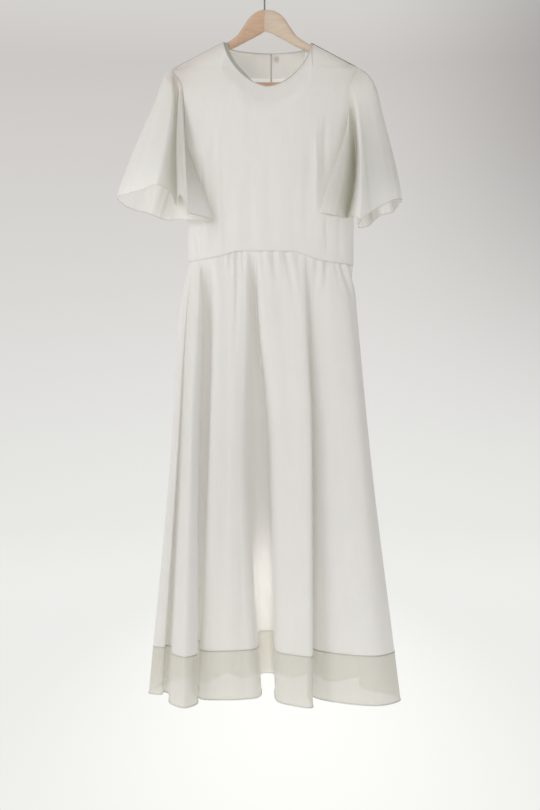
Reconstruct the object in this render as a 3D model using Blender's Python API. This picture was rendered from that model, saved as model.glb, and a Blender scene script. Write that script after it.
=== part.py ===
"""A maxi dress on a wooden hanger, hanging from the hook's curl.

Metres, +Z up. The front of the dress faces -Y and the wearer's left is at +X.
The origin is the hang point, the inner top of the hook's curl, where a rail would touch it.
The cloth is rigid here: each cut piece is a closed wall, and pieces stand 0.3 mm apart at their seams.
"""
import math

import bmesh
import bpy
import numpy as np
from mathutils import Matrix

# Driving sizes of the cloth
WALL = 0.0012
SEAM = 0.0003
SHOULDER_TIP_X = 0.181
NECK_HALF = 0.087
NECK_CENTRE_X = 0.006
NECK_DROP_FRONT = 0.0965
NECK_DROP_BACK = 0.0065
NECK_BOTTOM_Y = -0.055
NECK_BACK_Y = 0.046
NECK_ROUNDNESS = 1.5
NECK_FORWARD = 0.45
SECTION_POWER = 2.3
CHEST_FLATNESS = 0.8
FLATTEN_HEIGHT = 0.05
ARCH_FROM = 0.40
ARCH_FULL = 0.48
HEM_Z = -1.4365
BAND_HEIGHT = 0.0935
ROLL_START = 0.80
SLIT_X = 0.0135
SLIT_BOTTOM_Z = -0.325
SLIT_GAP = 0.0035
SLIT_EASE = 0.05
SLIT_STATION = 0.03
FACING_WIDTH = 0.047
FACING_INSET = 0.0012
FACING_GAP = 0.0006
FACING_WALL = 0.0010
FACING_ROWS = (0.0, 0.25, 0.5, 0.75, 1.0)
FACING_REACH = 0.34
NORMAL_STEP = 0.004
BUTTON_RADIUS = 0.0048
BUTTON_THICK = 0.0024
LOOP_RADIUS = 0.0008
LOOP_TAIL = 0.002
LOOP_SPREAD = 0.0017
LOOP_TURN = 300  # degrees round the button
LOOP_STEPS = 14
BUTTON_PLACE = (0.062, 0.972)
BUTTON_STEP = 0.01
BUTTON_SIDES = 20

# Driving sizes of the hanger
HOOK_WIRE = 0.0032
HOOK_INNER_RADIUS = 0.019
HOOK_TIP_ANGLE = 200
HOOK_CURL = 260
HOOK_BEND = 60
HOOK_CURL_STEPS = 26
HOOK_BEND_STEPS = 6
WOOD_TOP_Z = -0.078
WOOD_HALF_THICK = 0.0062
WOOD_SQUARENESS = 0.85
ARM_SHIFT_X = 0.004
ARM_END_X = 0.196
ARM_FORWARD = 0.032
SHOULDER_SLOPE = 0.585
SHOULDER_NECK_X = 0.084
SHOULDER_NECK_Z = -0.1455
BAR_RADIUS = 0.0042
BAR_Z = -0.2335
BAR_END_X = 0.175
SHANK_DEPTH = 0.012
ARM_SHIFT_BY = 0.012
ARM_BEND = 1.3
ARM_END_THIN = 0.8
BAR_SHARE = 0.88
BAR_SIDES = 20

# Waist seam: place across, height. It lies higher in the middle than at the sides.
WAIST_SEAM = (
    ("left_side", -0.152, -0.584),
    ("left_front", -0.095, -0.577),
    ("left_centre", -0.045, -0.566),
    ("right_centre", 0.052, -0.5665),
    ("right_front", 0.112, -0.584),
    ("right_side", 0.178, -0.591),
)

# Torso: height, left edge, right edge, front depth, back depth. The shoulder's rows follow the armhole.
TORSO = (
    ("waist", -0.585, -0.1520, 0.1775, 0.055, 0.055),
    ("midriff", -0.500, -0.1545, 0.1785, 0.063, 0.061),
    ("bust", -0.420, -0.1660, 0.1800, 0.080, 0.072),
    ("underarm", -0.392, -0.1720, 0.1820, 0.083, 0.075),
    ("chest", -0.320, -0.1560, 0.1620, 0.078, 0.073),
    ("neck_bottom", -0.243, -0.1610, 0.1660, 0.060, 0.066),
    ("shoulder", -0.203, -0.1810, 0.1810, 0.052, 0.060),
    ("neck_point", -0.146, -0.1810, 0.1810, 0.034, 0.050),
)

# Armhole: height, front edge, back edge. Both edges meet at the shoulder tip and at the underarm.
ARMHOLE = (
    ("underarm", -0.392, 0.000, 0.000),
    ("heel", -0.378, -0.026, 0.024),
    ("low", -0.350, -0.042, 0.039),
    ("middle", -0.290, -0.050, 0.030),
    ("cap", -0.235, -0.044, -0.008),
    ("over_arm", -0.2085, -0.0400, -0.0180),
    ("tip", -0.204, -0.029, -0.029),
)

# Columns across half of a bodice panel, from the middle to the side; 0.5 is the neck point and 1 the armhole
HALF_STATIONS = (0.11, 0.22, 0.32, 0.38, 0.44, 0.5, 0.56, 0.64, 0.74, 0.84, 0.93, 1.0)

# Rows of the bodice from waist to top, and of the skirt from waist to hem, as shares of the way
BODICE_ROWS = (0.0, 0.15, 0.32, 0.505, 0.54, 0.59, 0.67, 0.75, 0.83, 0.90, 0.95, 0.985, 1.0)
UNDERARM_ROW = 3
SKIRT_ROWS = (0.0, 0.03, 0.08, 0.16, 0.28, 0.43, 0.60, 0.77)
SKIRT_STOPS = (0.0, 0.12, 0.43, 1.0)
DEPTH_SHARES = (0.0, 0.16, 0.47, 1.0)

# Skirt folds in order round the skirt, from the left side seam across the front and then the back:
# name, place across at the waist, hip, knee and hem, depth at the hem.
SKIRT_FRONT = (
    ("side_left", -0.149, -0.169, -0.184, -0.226, -0.035),
    ("gore_left", -0.144, -0.158, -0.172, -0.202, -0.045),
    ("a_valley_left", -0.1405, -0.1515, -0.1690, -0.1990, 0.004),
    ("a_valley_right", -0.1375, -0.1465, -0.1630, -0.1895, 0.002),
    ("a_left", -0.135, -0.143, -0.158, -0.180, -0.120),
    ("a_ridge", -0.131, -0.134, -0.143, -0.151, -0.160),
    ("a_right", -0.127, -0.124, -0.128, -0.127, -0.122),
    ("ab_left", -0.122, -0.119, -0.126, -0.147, -0.014),
    ("ab_right", -0.115, -0.111, -0.116, -0.136, -0.011),
    ("b_left", -0.107, -0.099, -0.104, -0.124, -0.085),
    ("b_middle", -0.076, -0.070, -0.069, -0.082, -0.097),
    ("b_front", -0.048, -0.046, -0.042, -0.038, -0.075),
    ("b_right", -0.034, -0.031, -0.027, -0.011, -0.066),
    ("bc_left", -0.026, -0.024, -0.015, -0.005, 0.160),
    ("bc_right", -0.019, -0.016, -0.001, 0.014, 0.163),
    ("c_left", -0.012, -0.009, 0.017, 0.026, -0.105),
    ("c_middle", 0.032, 0.038, 0.053, 0.052, -0.140),
    ("c_right", 0.075, 0.077, 0.088, 0.088, -0.160),
    ("cd_valley", 0.083, 0.084, 0.092, 0.086, -0.075),
    ("d_left", 0.094, 0.095, 0.106, 0.111, -0.098),
    ("d_middle", 0.129, 0.138, 0.156, 0.166, -0.130),
    ("d_right", 0.159, 0.171, 0.194, 0.229, -0.146),
    ("side_right", 0.175, 0.184, 0.208, 0.263, -0.134),
)
SKIRT_BACK = (
    ("right_turn", 0.172, 0.178, 0.202, 0.252, -0.050),
    ("right_valley", 0.163, 0.160, 0.172, 0.196, 0.020),
    ("right_ridge", 0.146, 0.146, 0.163, 0.196, 0.125),
    ("e_valley", 0.118, 0.118, 0.128, 0.138, 0.075),
    ("e_ridge", 0.088, 0.088, 0.094, 0.098, 0.172),
    ("f_valley", 0.058, 0.056, 0.056, 0.060, 0.120),
    ("f_ridge", 0.018, 0.018, 0.014, 0.010, 0.196),
    ("g_valley", -0.022, -0.026, -0.034, -0.046, 0.118),
    ("g_ridge", -0.056, -0.060, -0.068, -0.080, 0.168),
    ("h_valley", -0.092, -0.096, -0.106, -0.122, 0.072),
    ("h_ridge", -0.122, -0.130, -0.142, -0.170, 0.120),
    ("left_turn", -0.143, -0.158, -0.172, -0.208, 0.040),
)
FRONT_STEPS = 4
BACK_STEPS = 5

# Gathers under the waist seam: place across, depth, reach down the skirt
GATHERS_FRONT = (
    ("gather_1", -0.128, 0.0016, 0.05),
    ("gather_2", -0.098, 0.0018, 0.07),
    ("gather_3", -0.066, 0.0026, 0.10),
    ("gather_4", -0.052, 0.0022, 0.06),
    ("gather_5", -0.004, 0.0020, 0.07),
    ("gather_6", 0.016, 0.0030, 0.11),
    ("gather_7", 0.039, 0.0030, 0.12),
    ("gather_8", 0.060, 0.0018, 0.06),
    ("gather_9", 0.104, 0.0026, 0.09),
    ("gather_10", 0.118, 0.0022, 0.08),
    ("gather_11", 0.136, 0.0020, 0.06),
    ("gather_12", 0.150, 0.0028, 0.11),
    ("gather_13", 0.164, 0.0022, 0.08),
)
GATHERS_BACK = (
    ("gather_14", 0.130, 0.0022, 0.08),
    ("gather_15", 0.102, 0.0026, 0.10),
    ("gather_16", 0.074, 0.0018, 0.06),
    ("gather_17", 0.040, 0.0028, 0.11),
    ("gather_18", -0.004, 0.0022, 0.08),
    ("gather_19", -0.038, 0.0026, 0.10),
    ("gather_20", -0.074, 0.0020, 0.07),
    ("gather_21", -0.108, 0.0024, 0.09),
)
GATHER_WIDTH = 0.0055
GATHER_AT_SEAM = 0.35
GATHER_START = 0.02

# Sleeve folds from the shoulder tip, down the front to the underarm and up the back:
# name, place along the armhole from 0 to 2, hem point, swell in x and y halfway down,
# share of the crown, which is the swell that the hanger's end pushes out near the top,
# share of the lift, which carries the fold forward and clear of the bodice near the seam.
SLEEVE_LEFT = (
    ("cap", 0.00, -0.292, -0.030, -0.4555, -0.0075, 0.000, 1.0, 0.0),
    ("outer", 0.12, -0.248, -0.076, -0.4545, -0.006, -0.006, 0.8, 0.0),
    ("panel_edge", 0.22, -0.207, -0.102, -0.4470, -0.004, -0.012, 0.4, 0.0),
    ("recess", 0.32, -0.190, -0.062, -0.4475, 0.000, -0.004, 0.1, 0.0),
    ("strip_outer", 0.42, -0.177, -0.118, -0.4715, -0.002, -0.012, 0.0, 0.1),
    ("strip_middle", 0.50, -0.160, -0.117, -0.4650, 0.000, -0.014, 0.0, 0.4),
    ("strip_edge", 0.60, -0.141, -0.121, -0.5060, 0.004, -0.016, 0.0, 0.7),
    ("tuck", 0.68, -0.163, -0.100, -0.4980, -0.002, -0.012, 0.0, 0.9),
    ("flap_edge", 0.80, -0.101, -0.089, -0.5075, 0.004, -0.014, 0.0, 1.1),
    ("flap_turn", 0.91, -0.153, -0.049, -0.5040, -0.005, -0.008, 0.0, 0.5),
    ("under", 1.00, -0.182, -0.004, -0.5000, -0.005, 0.000, 0.0, 0.0),
    ("back_inner", 1.18, -0.176, 0.074, -0.4830, -0.002, 0.012, 0.0, -0.7),
    ("back_ridge", 1.36, -0.203, 0.090, -0.4855, -0.002, 0.012, 0.0, -0.4),
    ("back_valley", 1.54, -0.228, 0.056, -0.4800, 0.000, 0.006, 0.1, 0.0),
    ("back_outer", 1.72, -0.256, 0.050, -0.4730, -0.004, 0.006, 0.4, 0.0),
    ("outer_turn", 1.88, -0.284, 0.008, -0.4650, -0.006, 0.002, 0.8, 0.0),
)
SLEEVE_RIGHT = (
    ("cap", 0.00, 0.270, -0.045, -0.4640, 0.014, 0.000, 1.0, 0.0),
    ("outer", 0.14, 0.245, -0.078, -0.4720, 0.012, -0.006, 0.8, 0.0),
    ("ridge_outer", 0.28, 0.207, -0.102, -0.4950, 0.006, -0.010, 0.4, 0.0),
    ("ridge", 0.42, 0.179, -0.118, -0.5135, 0.002, -0.014, 0.1, 0.0),
    ("ridge_inner", 0.52, 0.168, -0.102, -0.5065, 0.000, -0.012, 0.0, 0.3),
    ("valley", 0.62, 0.157, -0.087, -0.4995, 0.000, -0.018, 0.0, 0.9),
    ("flap", 0.72, 0.133, -0.103, -0.5045, -0.002, -0.016, 0.0, 0.9),
    ("flap_edge", 0.82, 0.107, -0.092, -0.4970, -0.004, -0.018, 0.0, 1.1),
    ("flap_turn", 0.92, 0.164, -0.050, -0.4970, 0.006, -0.008, 0.0, 0.5),
    ("under", 1.00, 0.193, -0.004, -0.4960, 0.005, 0.000, 0.0, 0.0),
    ("back_inner", 1.18, 0.191, 0.074, -0.5000, 0.000, 0.012, 0.0, -0.7),
    ("back_ridge", 1.36, 0.214, 0.088, -0.4980, 0.002, 0.012, 0.0, -0.4),
    ("back_valley", 1.54, 0.233, 0.050, -0.4835, 0.004, 0.006, 0.1, 0.0),
    ("back_outer", 1.72, 0.259, 0.046, -0.4765, 0.008, 0.006, 0.4, 0.0),
    ("outer_turn", 1.88, 0.269, 0.000, -0.4650, 0.012, 0.002, 0.8, 0.0),
)
# Crown of each sleeve: how far down it swells most, as a share, and how far out
CROWN_LEFT = (0.06, 0.0095)
CROWN_RIGHT = (0.12, 0.0190)
CROWN_SPREAD = 0.4
LIFT = 0.009
RIM_TURN = 0.52
RIM_GAP = 0.0009
LIFT_REACH = 0.11
SLEEVE_ROWS = (0.0, 0.05, 0.11, 0.24, 0.42, 0.62, 0.82, 1.0)
SLEEVE_STEPS = 4

# Hanger arm: distance out from the middle, top, bottom
ARM_PROFILE = (
    ("middle", 0.000, -0.0780, -0.1220),
    ("crown", 0.012, -0.0780, -0.1245),
    ("throat_top", 0.022, -0.0840, -0.1285),
    ("throat", 0.036, -0.0965, -0.1350),
    ("throat_low", 0.046, -0.1120, -0.1410),
    ("shoulder_root", 0.060, -0.1320, -0.1500),
    ("shoulder_inner", 0.078, -0.1455, -0.1600),
    ("neck_point", 0.090, -0.1520, -0.1660),
    ("slope", 0.130, -0.1754, -0.1930),
    ("bar_side", 0.160, -0.1930, -0.2140),
    ("lobe_inner", 0.168, -0.1980, -0.2290),
    ("lobe", 0.177, -0.2040, -0.2400),
    ("lobe_outer", 0.186, -0.2125, -0.2400),
    ("end", 0.193, -0.2200, -0.2370),
    ("end_face", ARM_END_X, -0.2250, -0.2320),
)
ARM_EXTRA = (0.006, 0.029, 0.053, 0.069, 0.110, 0.146)
ARM_SIDES = 14
SHARP_ANGLE = 40  # degrees

FRONT_STATIONS = sorted([-f for f in HALF_STATIONS] + [0.0] + list(HALF_STATIONS))
RIGHT_STATIONS = [SLIT_STATION] + list(HALF_STATIONS)
LEFT_STATIONS = [-f for f in reversed(RIGHT_STATIONS)]

# Colour, roughness and metallic value of each material
FINISHES = {
    "cloth": ((0.80, 0.78, 0.75), 0.85, 0.0),
    "band": ((0.77, 0.75, 0.71), 0.80, 0.0),
    "wood": ((0.58, 0.44, 0.31), 0.50, 0.0),
    "steel": ((0.55, 0.54, 0.52), 0.30, 1.0),
    "button": ((0.72, 0.69, 0.64), 0.35, 0.0),
}


def column(table, index):
    """One named column of a table, as an array."""
    return np.array([row[index] for row in table])


def smooth_through(stops, values, at):
    """A smooth curve through values at rising stops, read at one place or many. It doesn't overshoot."""
    stops = np.asarray(stops, float)
    values = np.asarray(values, float)
    steps = np.diff(stops)
    slopes = np.diff(values) / steps
    tangents = np.zeros_like(values)
    tangents[0] = slopes[0]
    tangents[-1] = slopes[-1]
    for i in range(1, len(values) - 1):
        before, after = slopes[i - 1], slopes[i]
        if before * after > 0.0:
            tangents[i] = 2.0 * before * after / (before + after)
    at = np.clip(at, stops[0], stops[-1])
    i = np.clip(np.searchsorted(stops, at, side="right") - 1, 0, len(steps) - 1)
    r = (at - stops[i]) / steps[i]
    start = values[i] * (1 + 2 * r) * (1 - r) ** 2 + tangents[i] * steps[i] * r * (1 - r) ** 2
    end = values[i + 1] * r * r * (3 - 2 * r) - tangents[i + 1] * steps[i] * r * r * (1 - r)
    return start + end


def ring_through(points, counts):
    """A closed smooth curve through points, with its own number of steps after each point."""
    total = len(points)
    out = []
    for i in range(total):
        p = [points[(i + k - 1) % total] for k in range(4)]
        knots = [0.0]
        for k in range(3):
            knots.append(knots[-1] + max(np.linalg.norm(p[k + 1] - p[k]), 1e-6) ** 0.5)
        for step in range(counts[i]):
            t = knots[1] + (knots[2] - knots[1]) * step / counts[i]
            a = [mix(p[k], p[k + 1], (t - knots[k]) / (knots[k + 1] - knots[k])) for k in range(3)]
            b = [mix(a[k], a[k + 1], (t - knots[k]) / (knots[k + 2] - knots[k])) for k in range(2)]
            out.append(mix(b[0], b[1], (t - knots[1]) / (knots[2] - knots[1])))
    return np.array(out)


def mix(a, b, share):
    return a + (b - a) * share


def unit(vectors):
    lengths = np.linalg.norm(vectors, axis=-1, keepdims=True)
    return vectors / np.maximum(lengths, 1e-9)


def grid_normals(grid, closed):
    """Outward directions of a grid whose rows run down and whose columns run left to right across the front."""
    if closed:
        across = np.roll(grid, -1, axis=1) - np.roll(grid, 1, axis=1)
    else:
        across = np.gradient(grid, axis=1)
    down = np.gradient(grid, axis=0)
    return unit(np.cross(unit(down), unit(across)))


def wall_mesh(name, outer, normals, closed=False, thickness=WALL):
    """A closed wall between a grid of points and the same grid moved in along its normals."""
    rows, columns = outer.shape[:2]
    inner = outer - normals * thickness
    mesh = bmesh.new()
    skins = [[[mesh.verts.new(p) for p in row] for row in skin] for skin in (outer, inner)]
    spans = columns if closed else columns - 1
    for skin, flip in zip(skins, (False, True)):
        for r in range(rows - 1):
            for c in range(spans):
                d = (c + 1) % columns
                face = [skin[r][c], skin[r + 1][c], skin[r + 1][d], skin[r][d]]
                mesh.faces.new(face[::-1] if flip else face)
    front, back = skins
    for c in range(spans):
        d = (c + 1) % columns
        mesh.faces.new([front[0][d], back[0][d], back[0][c], front[0][c]])
        mesh.faces.new([front[-1][c], back[-1][c], back[-1][d], front[-1][d]])
    if not closed:
        for r in range(rows - 1):
            mesh.faces.new([front[r][0], back[r][0], back[r + 1][0], front[r + 1][0]])
            mesh.faces.new([front[r + 1][-1], back[r + 1][-1], back[r][-1], front[r][-1]])
    if mesh.calc_volume(signed=True) < 0:
        bmesh.ops.reverse_faces(mesh, faces=mesh.faces[:])
    return add_object(name, mesh)


def add_object(name, mesh):
    """A finished mesh as an object of the dress's collection, shaded smooth with sharp rims."""
    data = bpy.data.meshes.new(name)
    mesh.to_mesh(data)
    mesh.free()
    data.shade_smooth()
    data.set_sharp_from_angle(angle=math.radians(SHARP_ANGLE))
    thing = bpy.data.objects.new(name, data)
    PARTS.objects.link(thing)
    return thing


def finish(thing, key):
    """Gives an object a material of its own in one of the named finishes."""
    colour, roughness, metallic = FINISHES[key]
    material = bpy.data.materials.new(f"{thing.name}_{key}")
    material.use_nodes = True
    shader = material.node_tree.nodes["Principled BSDF"]
    shader.inputs["Base Color"].default_value = (*colour, 1.0)
    shader.inputs["Roughness"].default_value = roughness
    shader.inputs["Metallic"].default_value = metallic
    thing.data.materials.clear()
    thing.data.materials.append(material)


def waist_z(x):
    return smooth_through(column(WAIST_SEAM, 1), column(WAIST_SEAM, 2), x)


def torso_at(z):
    """Left edge, right edge, front depth and back depth of the torso at a height."""
    heights = column(TORSO, 1)
    return [smooth_through(heights, column(TORSO, k), z) for k in (2, 3, 4, 5)]


def armhole_at(z, tip_z):
    """Depth of the armhole's front edge and back edge at a height, fitted to the height of the shoulder tip."""
    heights = column(ARMHOLE, 1)
    low, high = heights[0], heights[-1]
    fitted = low + (z - low) * (high - low) / (tip_z - low)
    return [smooth_through(heights, column(ARMHOLE, k), fitted) for k in (2, 3)]


def shoulder_z(x):
    return SHOULDER_NECK_Z - SHOULDER_SLOPE * (abs(x - ARM_SHIFT_X) - SHOULDER_NECK_X)


def arm_y(x):
    """The arms bend forward, away from the middle."""
    return -ARM_FORWARD * (abs(x - ARM_SHIFT_X) / ARM_END_X) ** ARM_BEND


def top_line(f, front):
    """Top edge of a bodice panel: f runs -1 to 1 from shoulder tip to shoulder tip, the neck between -0.5 and 0.5."""
    if abs(f) >= 0.5:
        neck_x = NECK_CENTRE_X + math.copysign(NECK_HALF, f)
        x = mix(neck_x, math.copysign(SHOULDER_TIP_X, f), (abs(f) - 0.5) * 2)
        return np.array((x, arm_y(x), shoulder_z(x)))
    w = math.sin(math.pi * f)
    x = NECK_CENTRE_X + NECK_HALF * w
    low = (1 - abs(w) ** NECK_ROUNDNESS) ** (1 / NECK_ROUNDNESS)
    edge = NECK_CENTRE_X + math.copysign(NECK_HALF, w)
    side = mix(shoulder_z(NECK_CENTRE_X - NECK_HALF), shoulder_z(NECK_CENTRE_X + NECK_HALF), (w + 1) / 2)
    drop, depth = (NECK_DROP_FRONT, NECK_BOTTOM_Y) if front else (NECK_DROP_BACK, NECK_BACK_Y)
    return np.array((x, mix(arm_y(edge), depth, low ** NECK_FORWARD), side - drop * low))


def panel_point(f, v, front):
    """A point of the bodice's outer side: f across from -1 to 1, v up from the waist seam to the top edge."""
    top = top_line(f, front)
    low_share = (1 + math.sin(math.pi * f / 2)) / 2
    top_left, top_right = torso_at(top[2])[:2]
    top_share = (top[0] - top_left) / (top_right - top_left)
    lift = v * v * (3 - 2 * v)
    share = mix(low_share, top_share, lift)
    waist_left, waist_right = torso_at(TORSO[0][1])[:2]
    z = mix(waist_z(mix(waist_left, waist_right, low_share)), top[2], v)
    left, right, front_depth, back_depth = torso_at(z)
    x = mix(left, right, share)
    if v == 1:
        return top
    front_edge, back_edge = armhole_at(z, shoulder_z(math.copysign(SHOULDER_TIP_X, f)))
    edge, depth = (front_edge, -front_depth) if front else (back_edge, back_depth)
    u = min(1.0, abs(2 * share - 1))
    above = min(1.0, max(0.0, (z - ARMHOLE[0][1]) / FLATTEN_HEIGHT))
    round_out = (1 - u ** SECTION_POWER) ** mix(1 / SECTION_POWER, CHEST_FLATNESS, above)
    y = mix(edge, depth, round_out)
    roll = max(0.0, (v - ROLL_START) / (1 - ROLL_START))
    over_arm = min(1.0, max(0.0, (abs(f) - ARCH_FROM) / (ARCH_FULL - ARCH_FROM)))
    arch = mix(mix(1 - roll * roll, math.sqrt(1 - roll * roll), over_arm), 1.0, abs(f) ** 4)
    return np.array((x, mix(top[1], y, arch), z))


def panel_normal(f, v, front):
    """Outward direction of a bodice panel at a point, from small steps across and down."""
    step = NORMAL_STEP
    across = panel_point(f + step, v - step, front) - panel_point(f - step, v - step, front)
    down = panel_point(f, v - 2 * step, front) - panel_point(f, v, front)
    normal = unit(np.cross(unit(down), unit(across)))
    return normal if front else -normal


def panel_grid(stations, rows, front):
    """Rows of a bodice panel from its top edge down, with columns across at the given stations."""
    return np.array([[panel_point(f, v, front) for f in stations] for v in reversed(rows)])


def eased(normals):
    """Directions averaged with their neighbours across and down, away from the grid's own edges."""
    out = normals.copy()
    out[1:-1] += (normals[:-2] + normals[2:]) / 2
    out[:, 1:-1] += (normals[:, :-2] + normals[:, 2:]) / 2
    return unit(out)


def bodice_normals(grid, front, stations):
    """Outward directions of a bodice panel, made to agree with its neighbours at every seam."""
    normals = grid_normals(grid, closed=False)
    if not front:
        normals = -normals
    normals[-1, :, 2] = 0.0
    normals = eased(normals)
    for c, f in enumerate(stations):
        if abs(f) >= 0.5:
            normals[0, c] = (math.copysign(SHOULDER_SLOPE, f), 0.0, 1.0)
        if abs(f) == 1.0:
            below = len(BODICE_ROWS) - 1 - UNDERARM_ROW
            normals[below:, c] = (math.copysign(1.0, f), 0.0, 0.0)
    return unit(normals)


def seam_apart(grid, top=0.0, bottom=0.0, first=0.0, last=0.0):
    """Draws a grid's edges back from its seams: the top and bottom rows in height, the end columns along the cloth."""
    grid = grid.copy()
    rows = (1, 0), (-2, -1)
    for (inside, edge), gap in zip(rows, (top, bottom)):
        if gap:
            grid[edge] += unit(grid[inside] - grid[edge]) * gap
    for (inside, edge), gap in zip(rows, (first, last)):
        if gap:
            grid[:, edge] += unit(grid[:, inside] - grid[:, edge]) * gap
    return grid


def slit_edge(z, side):
    """The back's middle edge: a closed seam below the slit, and an open slit above it."""
    share = min(1.0, max(0.0, (z - SLIT_BOTTOM_Z) / SLIT_EASE))
    return SLIT_X + side * (SEAM + (SLIT_GAP - SEAM) * share) / 2


def back_grid(side):
    """Half of the back: from the side to the slit, in the same rows as the front."""
    stations = RIGHT_STATIONS if side > 0 else LEFT_STATIONS
    grid = panel_grid(stations, BODICE_ROWS, front=False)
    middle = 0 if side > 0 else -1
    for row in grid:
        row[middle][0] = slit_edge(row[middle][2], side)
    return grid, stations


def make_bodice():
    front = panel_grid(FRONT_STATIONS, BODICE_ROWS, front=True)
    normals = bodice_normals(front, True, FRONT_STATIONS)
    front = seam_apart(front, bottom=SEAM / 2)
    front = part_at_shoulder_and_side(front, FRONT_STATIONS, -1)
    finish(wall_mesh("bodice_front", front, normals), "cloth")
    for name, side in (("bodice_back_left", -1), ("bodice_back_right", 1)):
        grid, stations = back_grid(side)
        normals = bodice_normals(grid, False, stations)
        normals = level_middle(normals, side)
        grid = seam_apart(grid, bottom=SEAM / 2)
        grid = part_at_shoulder_and_side(grid, stations, 1)
        finish(wall_mesh(name, grid, normals), "cloth")


def level_middle(normals, side):
    """The slit's edge faces straight back in plan, so the two halves stay parallel there."""
    middle = 0 if side > 0 else -1
    normals[:, middle, 0] = 0.0
    return unit(normals)


def part_at_shoulder_and_side(grid, stations, direction):
    """Moves the shoulder edge and the side seam apart from the neighbour's by half a seam, forward or back."""
    below = len(BODICE_ROWS) - 1 - UNDERARM_ROW
    for c, f in enumerate(stations):
        if abs(f) >= 0.5:
            grid[0, c, 1] += direction * SEAM / 2
        if abs(f) == 1.0:
            grid[below:, c, 1] += direction * SEAM / 2
    return grid


def make_facings():
    """Neck facings: strips inside the neck, made from the panel's own points and moved in."""
    for name, front, stations in (
        ("neck_facing_front", True, [f for f in FRONT_STATIONS if abs(f) <= FACING_REACH]),
        ("neck_facing_back_left", False, [f for f in LEFT_STATIONS if abs(f) <= FACING_REACH]),
        ("neck_facing_back_right", False, [f for f in RIGHT_STATIONS if abs(f) <= FACING_REACH]),
    ):
        grid, normals = [], []
        for share in FACING_ROWS:
            line, facing = [], []
            for f in stations:
                height = top_line(f, front)[2] - waist_z(0.0)
                v = 1 - (FACING_INSET + FACING_WIDTH * share) / height
                line.append(panel_point(f, v, front))
                facing.append(panel_normal(f, v, front))
            grid.append(line)
            normals.append(facing)
        grid, normals = np.array(grid), np.array(normals)
        if not front:
            side = 1 if stations[0] > 0 else -1
            middle = 0 if side > 0 else -1
            for row in grid:
                row[middle][0] = slit_edge(row[middle][2], side) + side * FACING_INSET
        inset = grid - normals * (WALL + FACING_GAP)
        finish(wall_mesh(name, inset, normals, thickness=FACING_WALL), "cloth")


def armhole_loop(side):
    """The armhole from the shoulder tip down the front edge to the underarm, and up the back edge."""
    rows = BODICE_ROWS[UNDERARM_ROW:]
    down = [panel_point(side * 1.0, v, True) for v in reversed(rows)]
    up = [panel_point(side * 1.0, v, False) for v in rows]
    return np.array(down), np.array(up)


def along(points, share):
    """The point at a share of the way along a broken line, by its own rows."""
    place = share * (len(points) - 1)
    i = min(int(place), len(points) - 2)
    return mix(points[i], points[i + 1], place - i)


def sleeve_grid(table, side, crown):
    """Rows of a sleeve from the armhole to the hem, with columns round it from the cap, front first."""
    down, up = armhole_loop(side)
    places = list(column(table, 1)) + [2.0]
    moves, swells, crowns, lifts = [], [], [], []
    for _, place, x, y, z, swell_x, swell_y, share, lift in table:
        start = along(down, place) if place <= 1 else along(up, place - 1)
        moves.append(np.array((x, y, z)) - start)
        swells.append(np.array((swell_x, swell_y, 0.0)))
        apart = math.copysign(CROWN_SPREAD, place - 1) if 0 < place < 2 else 0.0
        crowns.append(np.array((side, apart, 0.0)) * crown[1] * share)
        lifts.append(np.array((0.0, -LIFT * lift, 0.0)))
    counts = [SLEEVE_STEPS] * len(table)
    across = []
    for i in range(len(table)):
        for step in range(counts[i]):
            place = mix(places[i], places[i + 1], step / counts[i])
            across.append(along(down, place) if place <= 1 else along(up, place - 1))
    across = np.array(across)
    across[:, 0] += side * RIM_GAP
    grid = []
    for t in SLEEVE_ROWS:
        high = t / crown[0] * math.exp(1 - t / crown[0])
        near = t / LIFT_REACH * math.exp(1 - t / LIFT_REACH)
        shift = []
        for move, swell, push, lift in zip(moves, swells, crowns, lifts):
            shift.append(move * t + swell * 4 * t * (1 - t) + push * high + lift * near)
        grid.append(across + (ring_through(shift, counts) if t > 0 else 0.0))
    return np.array(grid)


def rim_normals(ring, side):
    """Outward directions at the sleeve's rim: out of the armhole above, and towards the bodice below the arm."""
    tangents = np.roll(ring, -1, axis=0) - np.roll(ring, 1, axis=0)
    normals = unit(np.cross(tangents, (1.0, 0.0, 0.0)))
    normals *= np.sign(np.sum(normals * (ring - ring.mean(axis=0)), axis=1, keepdims=True))
    top, bottom = ring[:, 2].max(), ring[:, 2].min()
    low = np.clip((RIM_TURN - (ring[:, 2:] - bottom) / (top - bottom)) / RIM_TURN, 0.0, 1.0)
    return unit(normals * (1 - low) + np.array((-side, 0.0, 0.0)) * low * 2)


def make_sleeves():
    for name, table, side, crown in (
        ("sleeve_left", SLEEVE_LEFT, -1, CROWN_LEFT),
        ("sleeve_right", SLEEVE_RIGHT, 1, CROWN_RIGHT),
    ):
        grid = sleeve_grid(table, side, crown)
        normals = grid_normals(grid, closed=True) * -side
        normals[0] = rim_normals(grid[0], side)
        finish(wall_mesh(name, grid, normals, closed=True), "cloth")


def waist_y(x, front):
    left, right, front_depth, back_depth = torso_at(TORSO[0][1])
    u = min(1.0, abs(2 * (x - left) / (right - left) - 1))
    depth = -front_depth if front else back_depth
    return depth * (1 - u ** SECTION_POWER) ** (1 / SECTION_POWER)


def seam_z(x):
    """Height of the waist seam along the bodice's own edge, which is straight between its columns."""
    left, right = torso_at(TORSO[0][1])[:2]
    across = [mix(left, right, (1 + math.sin(math.pi * f / 2)) / 2) for f in FRONT_STATIONS]
    return np.interp(x, across, [waist_z(place) for place in across])


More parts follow.
